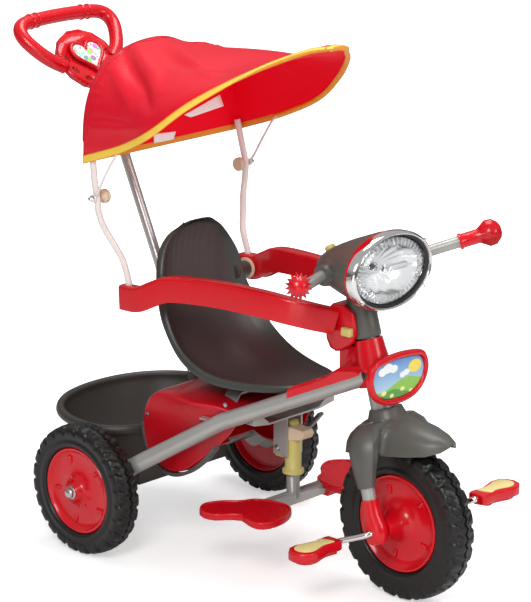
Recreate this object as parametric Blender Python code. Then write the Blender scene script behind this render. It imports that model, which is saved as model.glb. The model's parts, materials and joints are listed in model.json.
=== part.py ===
"""Child's pedal tricycle with a canopy, a push handle, a guard rail and a footrest.

Metres, +Z up. The front faces -Y, the rider's right is -X, and the origin lies on the ground
under the middle of the rear axle.
"""

import math

import bmesh
import bpy
from mathutils import Matrix, Vector

# Clearances
GAP = 0.0003
RUNNING = 0.0004

# Wheels and their places
WHEELBASE = 0.514
TRACK = 0.430
TO_ORIGIN = Vector((0.0, 0.17607, -0.00036))
FRONT_RADIUS = 0.127
FRONT_WIDTH = 0.050
REAR_RADIUS = 0.110
REAR_WIDTH = 0.048
FRONT_RIM_RADIUS = 0.080
REAR_RIM_RADIUS = 0.073
TREAD_DEPTH = 0.004
TREAD_BLOCKS = 13
HUB_LOBES = 5

# Axles and the one-piece crank
REAR_AXLE_RADIUS = 0.005
CRANK_ROD_RADIUS = 0.005
CRANK_LENGTH = 0.063
CRANK_DROP = math.radians(23.0)
AXLE_NUT_RADIUS = 0.010

# Pedals
PEDAL_INNER = 0.101
PEDAL_LENGTH = 0.097
PEDAL_WIDTH = 0.050
PEDAL_THICKNESS = 0.017

# Steering: distances along the raked axis are measured up from the front wheel's centre
RAKE = math.radians(16.3)
STEERER_RADIUS = 0.012
HEAD_RADIUS = 0.019
HEAD_LOW = 0.182
HEAD_HIGH = 0.290
HEAD_PLAY = 0.0020
FORK_HALF_WIDTH = 0.070
FORK_LEG_RADIUS = 0.011
ARCH_HEIGHT = 0.1595
FORK_COVER_TOP = 0.052
FORK_COVER_WALL = 0.005
NECK_RADIUS = 0.0220
NECK_TOP = 0.350
BAR_HEIGHT = 0.4115
BAR_RADIUS = 0.0095
GRIP_RADIUS = 0.0118
GRIP_BALL_RADIUS = 0.0160
GRIP_FIN_RADIUS = 0.0225
GRIP_FINS = 16

# Headlamp
LAMP_FACE_Y = 0.052 - WHEELBASE
LAMP_CENTRE_Z = 0.530
LAMP_HALF_WIDTH = 0.0945
LAMP_HALF_HEIGHT = 0.0630
BEZEL_WIDTH = 0.009
BEZEL_DEPTH = 0.022
LAMP_WALL = 0.003
SOCKET_RADIUS = 0.017
SOCKET_REACH = 0.076

# Frame tubes
TUBE_RADIUS = 0.014
TUBE_HEAD_X = 0.0165
LUG_X = TRACK / 2 - 0.035
TUBE_BEND = Vector((LUG_X / 2 + 0.022, -0.216, 0.250))
TUBE_REAR = Vector((LUG_X - 0.0035, -0.090, 0.166))
LUG_THICKNESS = 0.007
LUG_RADIUS = 0.022
STRAP_THICKNESS = 0.003

# Seat, fairing and basket
SEAT_WALL = 0.004
SEAT_TOP_Z = 0.539
SEAT_NOSE_Y = -0.338
BASKET_HALF_X = LUG_X - 0.006
BASKET_FRONT_Y = -0.054
BASKET_REAR_Y = 0.212
BASKET_RIM_Z = 0.203
BASKET_FLOOR_Z = 0.090
BASKET_WALL = 0.003

# Footrest
POST_Y = -0.268
POST_RADIUS = 0.011
SLEEVE_RADIUS = 0.0135
SLEEVE_FLANGE_RADIUS = 0.0178
SLEEVE_LOW_Z = 0.149
SLEEVE_HIGH_Z = 0.208
CROSSBAR_Z = 0.106
CROSSBAR_SIZE = 0.020
CROSSBAR_HALF = 0.092
FOOTREST_TRAVEL = 0.030
FOOTREST_THICKNESS = 0.010

# Guard rail
GUARD_HEIGHT = 0.041
GUARD_WIDTH = 0.024
GUARD_WALL = 0.003
YOKE_HALF_WIDTH = 0.030
LATCH_CENTRE = Vector((-0.0320, 0.100 - WHEELBASE, 0.4245))
LATCH_SIZE = Vector((0.0110, 0.0200, 0.0140))

# Front plaque
PLAQUE_Y = 0.022 - WHEELBASE
PLAQUE_HALF_WIDTH = 0.070
PLAQUE_TOP_Z = 0.400
PLAQUE_BOTTOM_Z = 0.318
PLAQUE_DEPTH = 0.014
PLAQUE_RIM = 0.011

# Canopy and its stays
STAY_RADIUS = 0.0055
PIVOT = Vector((0.1715, 0.0078, 0.594))
BOLT_RADIUS = 0.0020
KNOB_RADIUS = 0.0120
WIRE_RADIUS = 0.0023
CLOTH = 0.0024

# Push handle
ROD_RADIUS = 0.0085
ROD_FOOT = Vector((0.0, -0.0600, 0.2200))
ROD_LEAN = 0.460
HANDLE_CENTRE = Vector((0.0, 0.212, 0.768))
HANDLE_LEAN = math.radians(45.0)
HANDLE_PLATE_RADIUS = 0.060
HANDLE_TUBE_RADIUS = 0.011
HANDLE_SCALLOPS = 14

# Colour, roughness and metallic value of each finish
FINISHES = {
    "red_gloss": ((0.68, 0.010, 0.020), 0.25, 0.0),
    "red_matte": ((0.55, 0.010, 0.018), 0.45, 0.0),
    "silver_paint": ((0.40, 0.40, 0.38), 0.38, 0.5),
    "chrome": ((0.80, 0.80, 0.80), 0.12, 1.0),
    "steel": ((0.52, 0.52, 0.53), 0.35, 1.0),
    "white_paint": ((0.85, 0.80, 0.76), 0.35, 0.0),
    "charcoal": ((0.060, 0.045, 0.042), 0.50, 0.0),
    "dark_grey": ((0.095, 0.090, 0.082), 0.45, 0.0),
    "basket_black": ((0.045, 0.038, 0.032), 0.45, 0.0),
    "rubber_black": ((0.020, 0.018, 0.018), 0.60, 0.0),
    "cream": ((0.78, 0.62, 0.42), 0.40, 0.0),
    "pale_yellow": ((0.68, 0.60, 0.22), 0.40, 0.0),
    "clear": ((0.90, 0.92, 0.93), 0.05, 0.0),
    "mirror": ((0.88, 0.88, 0.88), 0.08, 1.0),
    "picture": ((0.30, 0.50, 0.62), 0.35, 0.0),
    "red_cloth": ((0.72, 0.020, 0.040), 0.75, 0.0),
}

# Places worked out from the sizes above
WHEEL_CENTRE = Vector((0.0, -WHEELBASE, FRONT_RADIUS))
STEER = Matrix.Translation(WHEEL_CENTRE) @ Matrix.Rotation(-RAKE, 4, "X")
REAR_CENTRE = Vector((0.0, 0.0, REAR_RADIUS))
CRANK_OFFSET = Vector((0.0, math.cos(CRANK_DROP), -math.sin(CRANK_DROP))) * CRANK_LENGTH
HANDLE_FRAME = Matrix.Translation(HANDLE_CENTRE) @ Matrix.Rotation(math.pi / 2 - HANDLE_LEAN, 4, "X")
SIDES = {"right": -1.0, "left": 1.0}
AHEAD = WHEELBASE - 0.514

for old in list(bpy.data.objects):
    bpy.data.objects.remove(old, do_unlink=True)


def material(name):
    """The Principled material of one finish, made on first use."""
    found = bpy.data.materials.get(name)
    if found:
        return found
    colour, roughness, metallic = FINISHES[name]
    made = bpy.data.materials.new(name)
    made.use_nodes = True
    shader = made.node_tree.nodes["Principled BSDF"]
    shader.inputs["Base Color"].default_value = (*colour, 1.0)
    shader.inputs["Roughness"].default_value = roughness
    shader.inputs["Metallic"].default_value = metallic
    made.diffuse_color = (*colour, 1.0)
    return made


def joint(name, place, turn=None):
    """An empty on a joint's axis, which carries the pieces that move with it."""
    empty = bpy.data.objects.new(name, None)
    bpy.context.scene.collection.objects.link(empty)
    empty.matrix_world = turn if turn is not None else Matrix.Translation(place)
    empty.empty_display_size = 0.03
    bpy.context.view_layer.update()
    return empty


def piece(name, bm, finish, carrier=None, crease=35.0):
    """Makes one object from a bmesh in world space, with its faces pointing out."""
    bmesh.ops.remove_doubles(bm, verts=bm.verts, dist=0.00001)
    bmesh.ops.recalc_face_normals(bm, faces=bm.faces)
    mesh = bpy.data.meshes.new(name)
    bm.to_mesh(mesh)
    bm.free()
    mesh.shade_smooth()
    mesh.set_sharp_from_angle(angle=math.radians(crease))
    mesh.materials.append(material(finish))
    made = bpy.data.objects.new(name, mesh)
    bpy.context.scene.collection.objects.link(made)
    if carrier:
        mesh.transform(carrier.matrix_world.inverted())
        made.parent = carrier
    return made


def tool(bm, name="cutter"):
    """A hidden solid that a Boolean uses."""
    made = piece(name, bm, "steel")
    made.hide_render = True
    made.display_type = "WIRE"
    return made


def combine(target, bm, operation):
    """Adds a Boolean of the bmesh's solid to the target."""
    step = target.modifiers.new(operation.lower(), "BOOLEAN")
    step.operation = operation
    step.solver = "EXACT"
    step.object = tool(bm, target.name + "_" + operation.lower())


def cut(target, *shapes):
    for bm in shapes:
        combine(target, bm, "DIFFERENCE")


def join(target, *shapes):
    for bm in shapes:
        combine(target, bm, "UNION")


def along(point, direction):
    """The matrix that carries +Z to a direction and the origin to a point."""
    turn = Vector(direction).to_track_quat("Z", "Y").to_matrix().to_4x4()
    return Matrix.Translation(Vector(point)) @ turn


def rod(start, end, radius, sides=16, end_radius=None):
    """A solid cylinder or cone between two points."""
    bm = bmesh.new()
    axis = Vector(end) - Vector(start)
    top = radius if end_radius is None else end_radius
    bmesh.ops.create_cone(
        bm, cap_ends=True, segments=sides, radius1=radius, radius2=top, depth=axis.length
    )
    bmesh.ops.transform(bm, matrix=along((Vector(start) + Vector(end)) / 2, axis), verts=bm.verts)
    return bm


def box(low, high):
    bm = bmesh.new()
    low, high = Vector(low), Vector(high)
    bmesh.ops.create_cube(bm, size=1.0)
    bmesh.ops.scale(bm, vec=high - low, verts=bm.verts)
    bmesh.ops.translate(bm, vec=(low + high) / 2, verts=bm.verts)
    return bm


def soften(bm, width, segments=2, least=30.0):
    """Rounds the edges sharper than an angle."""
    sharp = [e for e in bm.edges if len(e.link_faces) == 2 and e.calc_face_angle() > math.radians(least)]
    bmesh.ops.bevel(
        bm, geom=sharp, offset=width, segments=segments, profile=0.5, affect="EDGES", clamp_overlap=True
    )
    return bm


def turned(profile, place, steps=32, stretch=1.0):
    """A closed outline of (radius, height) pairs spun about the place's Z axis."""
    bm = bmesh.new()
    ring = [bm.verts.new((radius, 0.0, height)) for radius, height in profile]
    edges = [bm.edges.new((a, b)) for a, b in zip(ring, ring[1:] + ring[:1]) if max(a.co.x, b.co.x) > 1e-6]
    bmesh.ops.spin(
        bm,
        geom=ring + edges,
        cent=(0, 0, 0),
        axis=(0, 0, 1),
        angle=2 * math.pi,
        steps=steps,
        use_merge=True,
    )
    bmesh.ops.remove_doubles(bm, verts=bm.verts, dist=1e-6)
    bmesh.ops.scale(bm, vec=(stretch, 1.0, 1.0), verts=bm.verts)
    bmesh.ops.transform(bm, matrix=place, verts=bm.verts)
    return bm


def slab(outline, thickness, place):
    """A plate: an outline in the place's XY plane, thickened along its Z on both sides."""
    bm = bmesh.new()
    ring = [bm.verts.new((x, y, -thickness / 2)) for x, y in outline]
    face = bm.faces.new(ring)
    risen = bmesh.ops.extrude_face_region(bm, geom=[face])["geom"]
    tops = [v for v in risen if isinstance(v, bmesh.types.BMVert)]
    bmesh.ops.translate(bm, vec=(0, 0, thickness), verts=tops)
    bmesh.ops.transform(bm, matrix=place, verts=bm.verts)
    return bm


def loft(rings, closed=False):
    """A solid skinned over rings of equal length, capped at both ends unless it closes on itself."""
    bm = bmesh.new()
    rows = [[bm.verts.new(point) for point in ring] for ring in rings]
    pairs = list(zip(rows, rows[1:]))
    if closed:
        pairs.append((rows[-1], rows[0]))
    for low, high in pairs:
        for i, vert in enumerate(low):
            after = (i + 1) % len(low)
            bm.faces.new((vert, low[after], high[after], high[i]))
    if not closed:
        bm.faces.new(rows[0])
        bm.faces.new(rows[-1])
    return bm


def faceted(bm):
    """The same solid in triangles, so that a Boolean meets no warped face."""
    bmesh.ops.triangulate(bm, faces=bm.faces)
    return bm


def smooth(points, steps=4, closed=False):
    """Points along a Catmull-Rom curve through the given ones."""
    points = [Vector(p) for p in points]
    if closed:
        padded = [points[-1]] + points + points[:2]
    else:
        padded = [2 * points[0] - points[1]] + points + [2 * points[-1] - points[-2]]
    found = []
    for a, b, c, d in zip(padded, padded[1:], padded[2:], padded[3:]):
        for i in range(steps):
            t = i / steps
            found.append(
                0.5 * (2 * b + (c - a) * t + (2 * a - 5 * b + 4 * c - d) * t**2 + (3 * b - a - 3 * c + d) * t**3)
            )
    return found if closed else found + [points[-1]]


def round_section(radius, sides, across=1.0):
    """A circle, or an ellipse that is wider across by a factor."""
    return [
        (radius * across * math.cos(2 * math.pi * i / sides), radius * math.sin(2 * math.pi * i / sides))
        for i in range(sides)
    ]


def box_section(width, height, radius=0.3):
    """An eight-cornered rectangle, its corners cut by a share of its half width."""
    w, h, c = width / 2, height / 2, radius * width / 2
    return [(w, -h + c), (w, h - c), (w - c, h), (c - w, h), (-w, h - c), (-w, c - h), (c - w, -h), (w - c, -h)]


def sweep(path, section, up=(0, 0, 1), closed=False, sizes=None):
    """Carries a section of (across, upward) pairs along a path."""
    path = [Vector(p) for p in path]
    rings = []
    for i, point in enumerate(path):
        before = path[i - 1] if closed or i else point
        after = path[(i + 1) % len(path)] if closed or i + 1 < len(path) else point
        tangent = (after - before).normalized()
        across = tangent.cross(Vector(up)).normalized()
        upward = across.cross(tangent)
        size = sizes[i] if sizes else (1.0, 1.0)
        rings.append([point + across * a * size[0] + upward * b * size[1] for a, b in section])
    return loft(rings, closed)


def tube(path, radius, sides=10, up=(0, 0, 1), closed=False):
    return sweep(path, round_section(radius, sides), up, closed)


def on_side(point, side):
    return Vector((point[0] * side, point[1], point[2]))


def steer_point(x, back, height):
    """A point given across, behind and along the raked steering axis."""
    return STEER @ Vector((x, back, height))


def fore(y):
    """Where a place drawn ahead of the seat stands: it keeps its distance from the front wheel."""
    return y - AHEAD


def height_on_axis(z):
    """Distance up the steering axis at which it reaches a world height."""
    return (z - FRONT_RADIUS) / math.cos(RAKE)


def side_frame(centre, side):
    """A frame whose Z axis points outwards on one side, for pieces turned about an axle."""
    return Matrix.Translation(Vector(centre)) @ Matrix.Rotation(side * math.pi / 2, 4, "Y")


# Tyres and hubs


def tyre(name, centre, radius, width, rim, carrier):
    """A moulded tyre: staggered shoulder blocks beside a zigzag middle groove."""
    half = width / 2
    outline = [
        (rim + GAP, -0.76 * half),
        (0.66 * rim + 0.34 * radius, -half),
        (radius - 0.0100, -0.97 * half),
        (radius - 0.0022, -0.74 * half),
        (radius, -0.24 * half),
    ]
    outline += [(r, -x) for r, x in reversed(outline)]
    shoulder, edge, crown = (2, 3), (7, 6), (4, 5)
    segments = 3 * TREAD_BLOCKS
    rings = []
    for j in range(segments):
        angle = 2 * math.pi * j / segments
        near_groove = j % 3 == 0
        far_groove = (j + 1) % 3 == 0
        zigzag = 0.10 * half * (1 if j % 3 else -1)
        ring = []
        for i, (r, x) in enumerate(outline):
            if (near_groove and i in shoulder) or (far_groove and i in edge):
                r -= TREAD_DEPTH * (0.6 if i in (2, 7) else 1.0)
            if i in crown:
                x += zigzag
            ring.append(centre + Vector((x, r * math.sin(angle), r * math.cos(angle))))
        rings.append(ring)
    return piece(name, loft(rings, closed=True), "rubber_black", carrier, crease=28.0)


def hub(name, centre, profile, lobe_ring, lobe_height, carrier, side=1.0):
    """A dished hub: its profile of (radius, x) runs round, and one ring swells into lobes."""
    segments = 5 * HUB_LOBES
    rings = []
    for j in range(segments):
        angle = 2 * math.pi * j / segments
        swell = max(0.0, math.cos(HUB_LOBES * angle)) ** 0.6
        ring = []
        for i, (r, x) in enumerate(profile):
            if i in lobe_ring:
                x += lobe_height * swell * (1 if x > 0 else -1)
            ring.append(centre + Vector((x * side, r * math.sin(angle), r * math.cos(angle))))
        rings.append(ring)
    piece(name, loft(rings, closed=True), "red_gloss", carrier, crease=30.0)


def front_wheel(wheel):
    tyre("front_tyre", WHEEL_CENTRE, FRONT_RADIUS, FRONT_WIDTH, FRONT_RIM_RADIUS, wheel)
    bore = CRANK_ROD_RADIUS + GAP
    boss_end = FORK_HALF_WIDTH - FORK_LEG_RADIUS - FORK_COVER_WALL - RUNNING
    half = [
        (bore, boss_end),
        (0.0150, boss_end),
        (0.0200, 0.0300),
        (0.0320, 0.0155),
        (0.0580, 0.0120),
        (FRONT_RIM_RADIUS - 0.005, 0.0205),
        (FRONT_RIM_RADIUS, 0.0185),
    ]
    profile = half + [(r, -x) for r, x in reversed(half)]
    hub("front_hub", WHEEL_CENTRE, profile, (4, 9), 0.0055, wheel)


def rear_wheel(label, side, wheel):
    centre = on_side((TRACK / 2, 0.0, REAR_RADIUS), side)
    tyre("rear_tyre_" + label, centre, REAR_RADIUS, REAR_WIDTH, REAR_RIM_RADIUS, wheel)
    bore = REAR_AXLE_RADIUS + RUNNING
    inner = LUG_X + LUG_THICKNESS / 2 + GAP - TRACK / 2
    outer = nut_seat() - RUNNING - TRACK / 2
    profile = [
        (bore, outer),
        (0.0140, outer),
        (0.0220, 0.0170),
        (0.0360, 0.0125),
        (0.0560, 0.0120),
        (REAR_RIM_RADIUS - 0.004, 0.0200),
        (REAR_RIM_RADIUS, 0.0180),
        (REAR_RIM_RADIUS, -0.0150),
        (0.0560, -0.0030),
        (0.0180, -0.0030),
        (0.0120, inner),
        (bore, inner),
    ]
    hub("rear_hub_" + label, centre, profile, (4,), 0.0050, wheel, side)


def nut_seat():
    """Where the rear axle nuts begin, just outside the hubs."""
    return TRACK / 2 + REAR_WIDTH / 2 + 0.0080


def rear_axle():
    """The cross axle and the domed nuts on its ends."""
    tip = nut_seat() + 0.0070
    piece("rear_axle", rod((-tip, 0, REAR_RADIUS), (tip, 0, REAR_RADIUS), REAR_AXLE_RADIUS, 14), "steel")
    hole = REAR_AXLE_RADIUS + GAP
    profile = [
        (0.0, tip + 0.0030),
        (0.0050, tip + 0.0025),
        (0.0085, tip),
        (AXLE_NUT_RADIUS, tip - 0.0020),
        (AXLE_NUT_RADIUS, nut_seat()),
        (hole, nut_seat()),
        (hole, tip + GAP),
        (0.0, tip + GAP),
    ]
    for label, side in SIDES.items():
        piece("axle_nut_" + label, turned(profile, side_frame(REAR_CENTRE, side), steps=12), "chrome")


# Crank, pedals and fork


def crank_pivot(side):
    return WHEEL_CENTRE + CRANK_OFFSET * (-side)


def crank_axle(wheel):
    """One bent rod: axle, two arms and two pedal spindles."""
    arm_x = FORK_HALF_WIDTH + FORK_LEG_RADIUS + FORK_COVER_WALL + CRANK_ROD_RADIUS + 0.0020
    tip_x = PEDAL_INNER + PEDAL_LENGTH - 0.012
    half = [(0.0, 0.0), (arm_x - 0.006, 0.0), (arm_x, 0.08), (arm_x, 0.92), (arm_x + 0.006, 1.0), (tip_x, 1.0)]
    right = [WHEEL_CENTRE + Vector((-x, 0, 0)) + CRANK_OFFSET * t for x, t in reversed(half)]
    left = [WHEEL_CENTRE + Vector((x, 0, 0)) - CRANK_OFFSET * t for x, t in half[1:]]
    normal = CRANK_OFFSET.cross(Vector((1, 0, 0)))
    piece("crank_axle", tube(right + left, CRANK_ROD_RADIUS, 10, up=normal), "chrome", wheel)


def pedal(label, side, carrier):
    """A foot-shaped platform, wide at the toe and waisted at the spindle end."""
    pivot = crank_pivot(side)
    plan = [(0.0, 0.30), (0.10, 0.34), (0.32, 0.30), (0.50, 0.38), (0.68, 0.49), (0.84, 0.46), (0.96, 0.28)]
    plan += [(1.0, 0.0)]
    rim = [(u * PEDAL_LENGTH, v * PEDAL_WIDTH) for u, v in plan]
    outline = rim + [(u, -v) for u, v in reversed(rim[:-1])]
    turn = Matrix.Rotation(0 if side > 0 else math.pi, 4, "Z")
    place = Matrix.Translation(Vector((side * PEDAL_INNER, pivot.y, pivot.z))) @ turn
    bm = soften(slab(outline, PEDAL_THICKNESS, place), 0.003, 2, 60.0)
    made = piece("pedal_" + label, bm, "red_gloss", carrier)
    reach = PEDAL_INNER + PEDAL_LENGTH - 0.010
    cut(made, rod(on_side((PEDAL_INNER - 0.01, *pivot.yz), side), on_side((reach, *pivot.yz), side),
                  CRANK_ROD_RADIUS + RUNNING, 10))


def fork_path():
    """The bent tube that makes both legs and the arch over the tyre."""
    half = [(0.070, -0.012), (0.070, 0.050), (0.070, 0.108), (0.0665, 0.130), (0.0550, 0.1470), (0.0340, 0.1570)]
    points = [steer_point(-x, 0, h) for x, h in half] + [steer_point(0, 0, ARCH_HEIGHT)]
    return points + [steer_point(x, 0, h) for x, h in reversed(half)]


def fork_tube(grow=0.0):
    return tube(fork_path(), FORK_LEG_RADIUS + grow, 14, up=STEER.to_3x3() @ Vector((0, 1, 0)))


def fork(steering):
    """One bent tube for both legs, a collar and the steerer, drilled for the crank axle."""
    made = piece("fork", fork_tube(), "silver_paint", steering)
    collar = HEAD_LOW - HEAD_PLAY
    top = BAR_HEIGHT - BAR_RADIUS - GAP
    profile = [(0.0, ARCH_HEIGHT), (HEAD_RADIUS - 0.002, ARCH_HEIGHT), (HEAD_RADIUS, ARCH_HEIGHT + 0.004),
               (HEAD_RADIUS, collar), (STEERER_RADIUS, collar), (STEERER_RADIUS, top), (0.0, top)]
    join(made, turned(profile, STEER, 18))
    for side in SIDES.values():
        x = FORK_HALF_WIDTH * side
        reach = FORK_LEG_RADIUS + 0.01
        cut(made, rod(WHEEL_CENTRE + Vector((x - reach, 0, 0)), WHEEL_CENTRE + Vector((x + reach, 0, 0)),
                      CRANK_ROD_RADIUS + RUNNING, 10))


def fork_cover(label, side, steering):
    """A moulded cover that caps the fork end, with a round boss at the axle."""
    x = FORK_HALF_WIDTH * side
    outer = FORK_LEG_RADIUS + FORK_COVER_WALL
    rings = []
    for height, across, deep in ((-0.020, 0.60, 0.65), (-0.016, 0.95, 1.05), (0.0, 1.0, 1.30), (0.014, 1.0, 1.15),
                                 (0.028, 0.94, 0.90), (FORK_COVER_TOP, 0.88, 0.88)):
        ring = round_section(outer, 12)
        rings.append([steer_point(x + a * across, b * deep, height) for a, b in ring])
    made = piece("fork_cover_" + label, loft(rings), "red_gloss", steering)
    bore = FORK_LEG_RADIUS + GAP
    cut(made, rod(steer_point(x, 0, -0.012 - GAP), steer_point(x, 0, 0.08), bore))
    cut(made, rod(WHEEL_CENTRE + Vector((x - 0.03, 0, 0)), WHEEL_CENTRE + Vector((x + 0.03, 0, 0)),
                  CRANK_ROD_RADIUS + RUNNING, 10))


def fender_rings(grow):
    """Cross-sections of the mudguard's hood, from its front tip to its rear tip."""
    stations = (
        (-0.606, 0.007, 0.277, 0.271),
        (-0.599, 0.020, 0.281, 0.264),
        (-0.580, 0.034, 0.287, 0.257),
        (-0.552, 0.044, 0.294, 0.252),
        (-0.515, 0.049, 0.301, 0.246),
        (-0.475, 0.049, 0.300, 0.240),
        (-0.440, 0.046, 0.284, 0.233),
        (-0.416, 0.036, 0.264, 0.227),
        (-0.403, 0.018, 0.246, 0.230),
    )
    rings = []
    for y, half, ridge, rim in stations:
        y = fore(y)
        arch = []
        for i in range(9):
            angle = math.pi * (i / 8 - 0.5)
            x = (half - grow) * math.sin(angle)
            z = rim + (ridge - grow - rim) * math.cos(angle) ** 0.75
            arch.append(Vector((x, y, z)))
        low = [Vector((-half + grow, y, rim - 0.030)), Vector((half - grow, y, rim - 0.030))] if grow else []
        rings.append(arch + low[::-1])
    return rings


def fender(steering):
    """A mudguard over the tyre, with a crown and two skirts that cover the fork legs."""
    made = piece("fender", loft(fender_rings(0.0)), "dark_grey", steering)
    dome = turned([(0.0, 0.149), (0.0370, 0.149), (0.0315, 0.170), (0.0262, 0.184), (0.0, 0.184)],
                  STEER @ Matrix.Translation((0, -0.006, 0)), 16)
    join(made, dome)
    for side in SIDES.values():
        rings = []
        for height, inner, outer, fore, aft in ((0.0715, 0.0570, 0.0850, 0.0165, 0.0150),
                                                (0.0920, 0.0560, 0.0862, 0.0230, 0.0170),
                                                (0.1180, 0.0470, 0.0866, 0.0290, 0.0210),
                                                (0.1360, 0.0380, 0.0845, 0.0300, 0.0240),
                                                (0.1520, 0.0250, 0.0755, 0.0290, 0.0240),
                                                (0.1665, 0.0080, 0.0570, 0.0250, 0.0210)):
            middle, half = (inner + outer) / 2, (outer - inner) / 2
            ring = []
            for a, b in round_section(1.0, 10):
                ring.append(steer_point((middle + half * a) * side, b * (aft if b > 0 else fore), height))
            rings.append(ring)
        join(made, loft(rings))
    cut(made, loft(fender_rings(0.0032)))
    cut(made, fork_tube(GAP))
    cut(made, rod(steer_point(0, 0, ARCH_HEIGHT), steer_point(0, 0, 0.21), HEAD_RADIUS + 0.0015, 20))


# Head, column and plaque


def head_tube():
    """A plain tube in which the steerer turns."""
    bore = STEERER_RADIUS + RUNNING
    profile = [(bore, HEAD_LOW), (HEAD_RADIUS, HEAD_LOW), (HEAD_RADIUS, HEAD_HIGH), (bore, HEAD_HIGH)]
    piece("head_tube", turned(profile, STEER, 20), "silver_paint")


def frame_tube_path():
    head = STEER @ Vector((0, 0, height_on_axis(0.356)))
    start = Vector((TUBE_HEAD_X, head.y, 0.3565))
    middle = start.lerp(TUBE_BEND, 0.86)
    after = TUBE_BEND.lerp(TUBE_REAR, 0.16)
    axle = Vector((LUG_X, 0.0, REAR_RADIUS))
    return [start, start.lerp(TUBE_BEND, 0.45), middle, TUBE_BEND, after, TUBE_REAR,
            TUBE_REAR.lerp(axle, 0.45), TUBE_REAR.lerp(axle, 0.75), axle, axle + (axle - TUBE_REAR).normalized() * 0.014,
            axle + (axle - TUBE_REAR).normalized() * LUG_RADIUS]


def frame_tube(label, side):
    """A long tube from the head to the axle, its rear end flattened into an axle lug."""
    path = [on_side(p, side) for p in frame_tube_path()]
    flat, wide = LUG_THICKNESS / 2 / TUBE_RADIUS, LUG_RADIUS / TUBE_RADIUS
    sizes = [(1, 1)] * 6 + [(0.80, 1.15), (0.42, 1.40), (flat, wide), (flat, 0.80 * wide), (flat * 0.9, 0.30 * wide)]
    made = piece("frame_tube_" + label, sweep(path, round_section(TUBE_RADIUS, 14), sizes=sizes), "silver_paint")
    cut(made, rod(steer_point(0, 0, HEAD_LOW - 0.02), steer_point(0, 0, HEAD_HIGH + 0.02), HEAD_RADIUS + GAP, 24))
    x = LUG_X * side
    cut(made, rod((x - 0.02, 0, REAR_RADIUS), (x + 0.02, 0, REAR_RADIUS), REAR_AXLE_RADIUS + GAP))
    flat = (LUG_X + LUG_THICKNESS / 2) * side
    cut(made, rod((flat, 0, REAR_RADIUS), (flat + 0.01 * side, 0, REAR_RADIUS), 0.0160, 20))


def tube_cutters(grow=GAP):
    """Solids a little larger than the frame tubes, which carve the seats of what lies on them."""
    found = []
    for side in SIDES.values():
        path = [on_side(p, side) for p in frame_tube_path()[:6]]
        path[0] += (path[0] - path[1]).normalized() * 0.003
        found.append(sweep(path, round_section(TUBE_RADIUS + grow, 14)))
    return found


def tube_height(y):
    """Height of the frame tubes' centre lines at a place along the frame."""
    path = frame_tube_path()[:6]
    for a, b in zip(path, path[1:]):
        if a.y <= y <= b.y:
            return a.lerp(b, (y - a.y) / (b.y - a.y))
    return path[-1]


def cover_sleeve(grow=0.0):
    """The cover's tapered sleeve, or a larger copy of it that carves clearance in its neighbours."""
    rows = ((0.222, 0.0330, 0.0290), (0.250, 0.0285, 0.0265), (0.275, 0.0250, 0.0240), (0.296, 0.0228, 0.0222))
    rings = []
    for height, across, deep in rows:
        ring = round_section(1.0, 16)
        rings.append([steer_point(a * (across + grow), b * (deep + grow), height) for a, b in ring])
    return loft(rings)


def cover_saddle(grow=0.0):
    """The cover's saddle, which lies over the two tubes and falls with them."""
    rows = ((-0.440, 0.0187), (-0.405, 0.0289), (-0.385, 0.0231), (-0.365, 0.0223), (-0.345, 0.0225), (-0.328, 0.0224))
    rings = []
    for y, crown in rows:
        y = fore(y)
        centre = tube_height(y)
        half, base, top = centre.x + 0.0135 + grow, centre.z + 0.002 - grow, centre.z + crown + grow
        rings.append([Vector((half, y, base)), Vector((half, y, top - 0.006)), Vector((half - 0.008, y, top)),
                      Vector((0.008 - half, y, top)), Vector((-half, y, top - 0.006)), Vector((-half, y, base))])
    return loft(rings)


def cover_web(grow=0.0):
    """The upright web behind the cover's sleeve."""
    return box((-0.0185 - grow, fore(-0.436), 0.335), (0.0185 + grow, fore(-0.3860) + grow, 0.3985 + grow))


def column_cover():
    """A tapered sleeve on the head tube whose saddle spreads back over the two tubes."""
    made = piece("column_cover", cover_sleeve(), "red_gloss")
    join(made, cover_saddle(), cover_web())
    cut(made, rod(steer_point(0, 0, 0.19), steer_point(0, 0, HEAD_HIGH + 0.02), HEAD_RADIUS + GAP, 24))
    cut(made, *tube_cutters())
    cut(made, box((-0.0405, -0.3440, 0.28), (0.0405, -0.30, 0.36)))


def plaque_outline(inset):
    """A shield: a gently crowned top, round shoulders and a full round bottom."""
    half = PLAQUE_HALF_WIDTH - inset
    top, low = PLAQUE_TOP_Z - inset, PLAQUE_BOTTOM_Z + inset
    shape = [(-0.60, 0.98), (-0.88, 0.90), (-1.0, 0.66), (-0.97, 0.44), (-0.84, 0.24), (-0.62, 0.09), (-0.34, 0.01),
             (0.0, -0.01)]
    points = [(half * x, low + (top - low) * z) for x, z in shape]
    right = [(-x, z) for x, z in reversed(points[:-1])]
    return points + right + [(0.0, top + 0.002)]


def plaque():
    """The shield-shaped frame on the column and the picture card in its recess."""
    face = Matrix.Translation((0, PLAQUE_Y, 0)) @ Matrix.Rotation(math.pi / 2, 4, "X")
    bm = soften(slab(plaque_outline(0.0), PLAQUE_DEPTH, face), 0.004, 2, 60.0)
    made = piece("plaque_frame", bm, "red_gloss")
    front = PLAQUE_Y - PLAQUE_DEPTH / 2
    deep = 0.006
    recess = face @ Matrix.Translation((0, 0, PLAQUE_DEPTH / 2))
    cut(made, slab(plaque_outline(PLAQUE_RIM), 2 * deep, recess))
    arm_y = PLAQUE_Y + PLAQUE_DEPTH / 2 - 0.002
    join(made, box((-0.018, arm_y, 0.352), (0.018, fore(-0.466), 0.376)))
    cut(made, cover_sleeve(GAP))
    card = Matrix.Translation((0, front + deep - 0.0015 - GAP, 0)) @ Matrix.Rotation(math.pi / 2, 4, "X")
    piece("plaque_panel", slab(plaque_outline(PLAQUE_RIM + GAP), 0.003, card), "picture")


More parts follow.
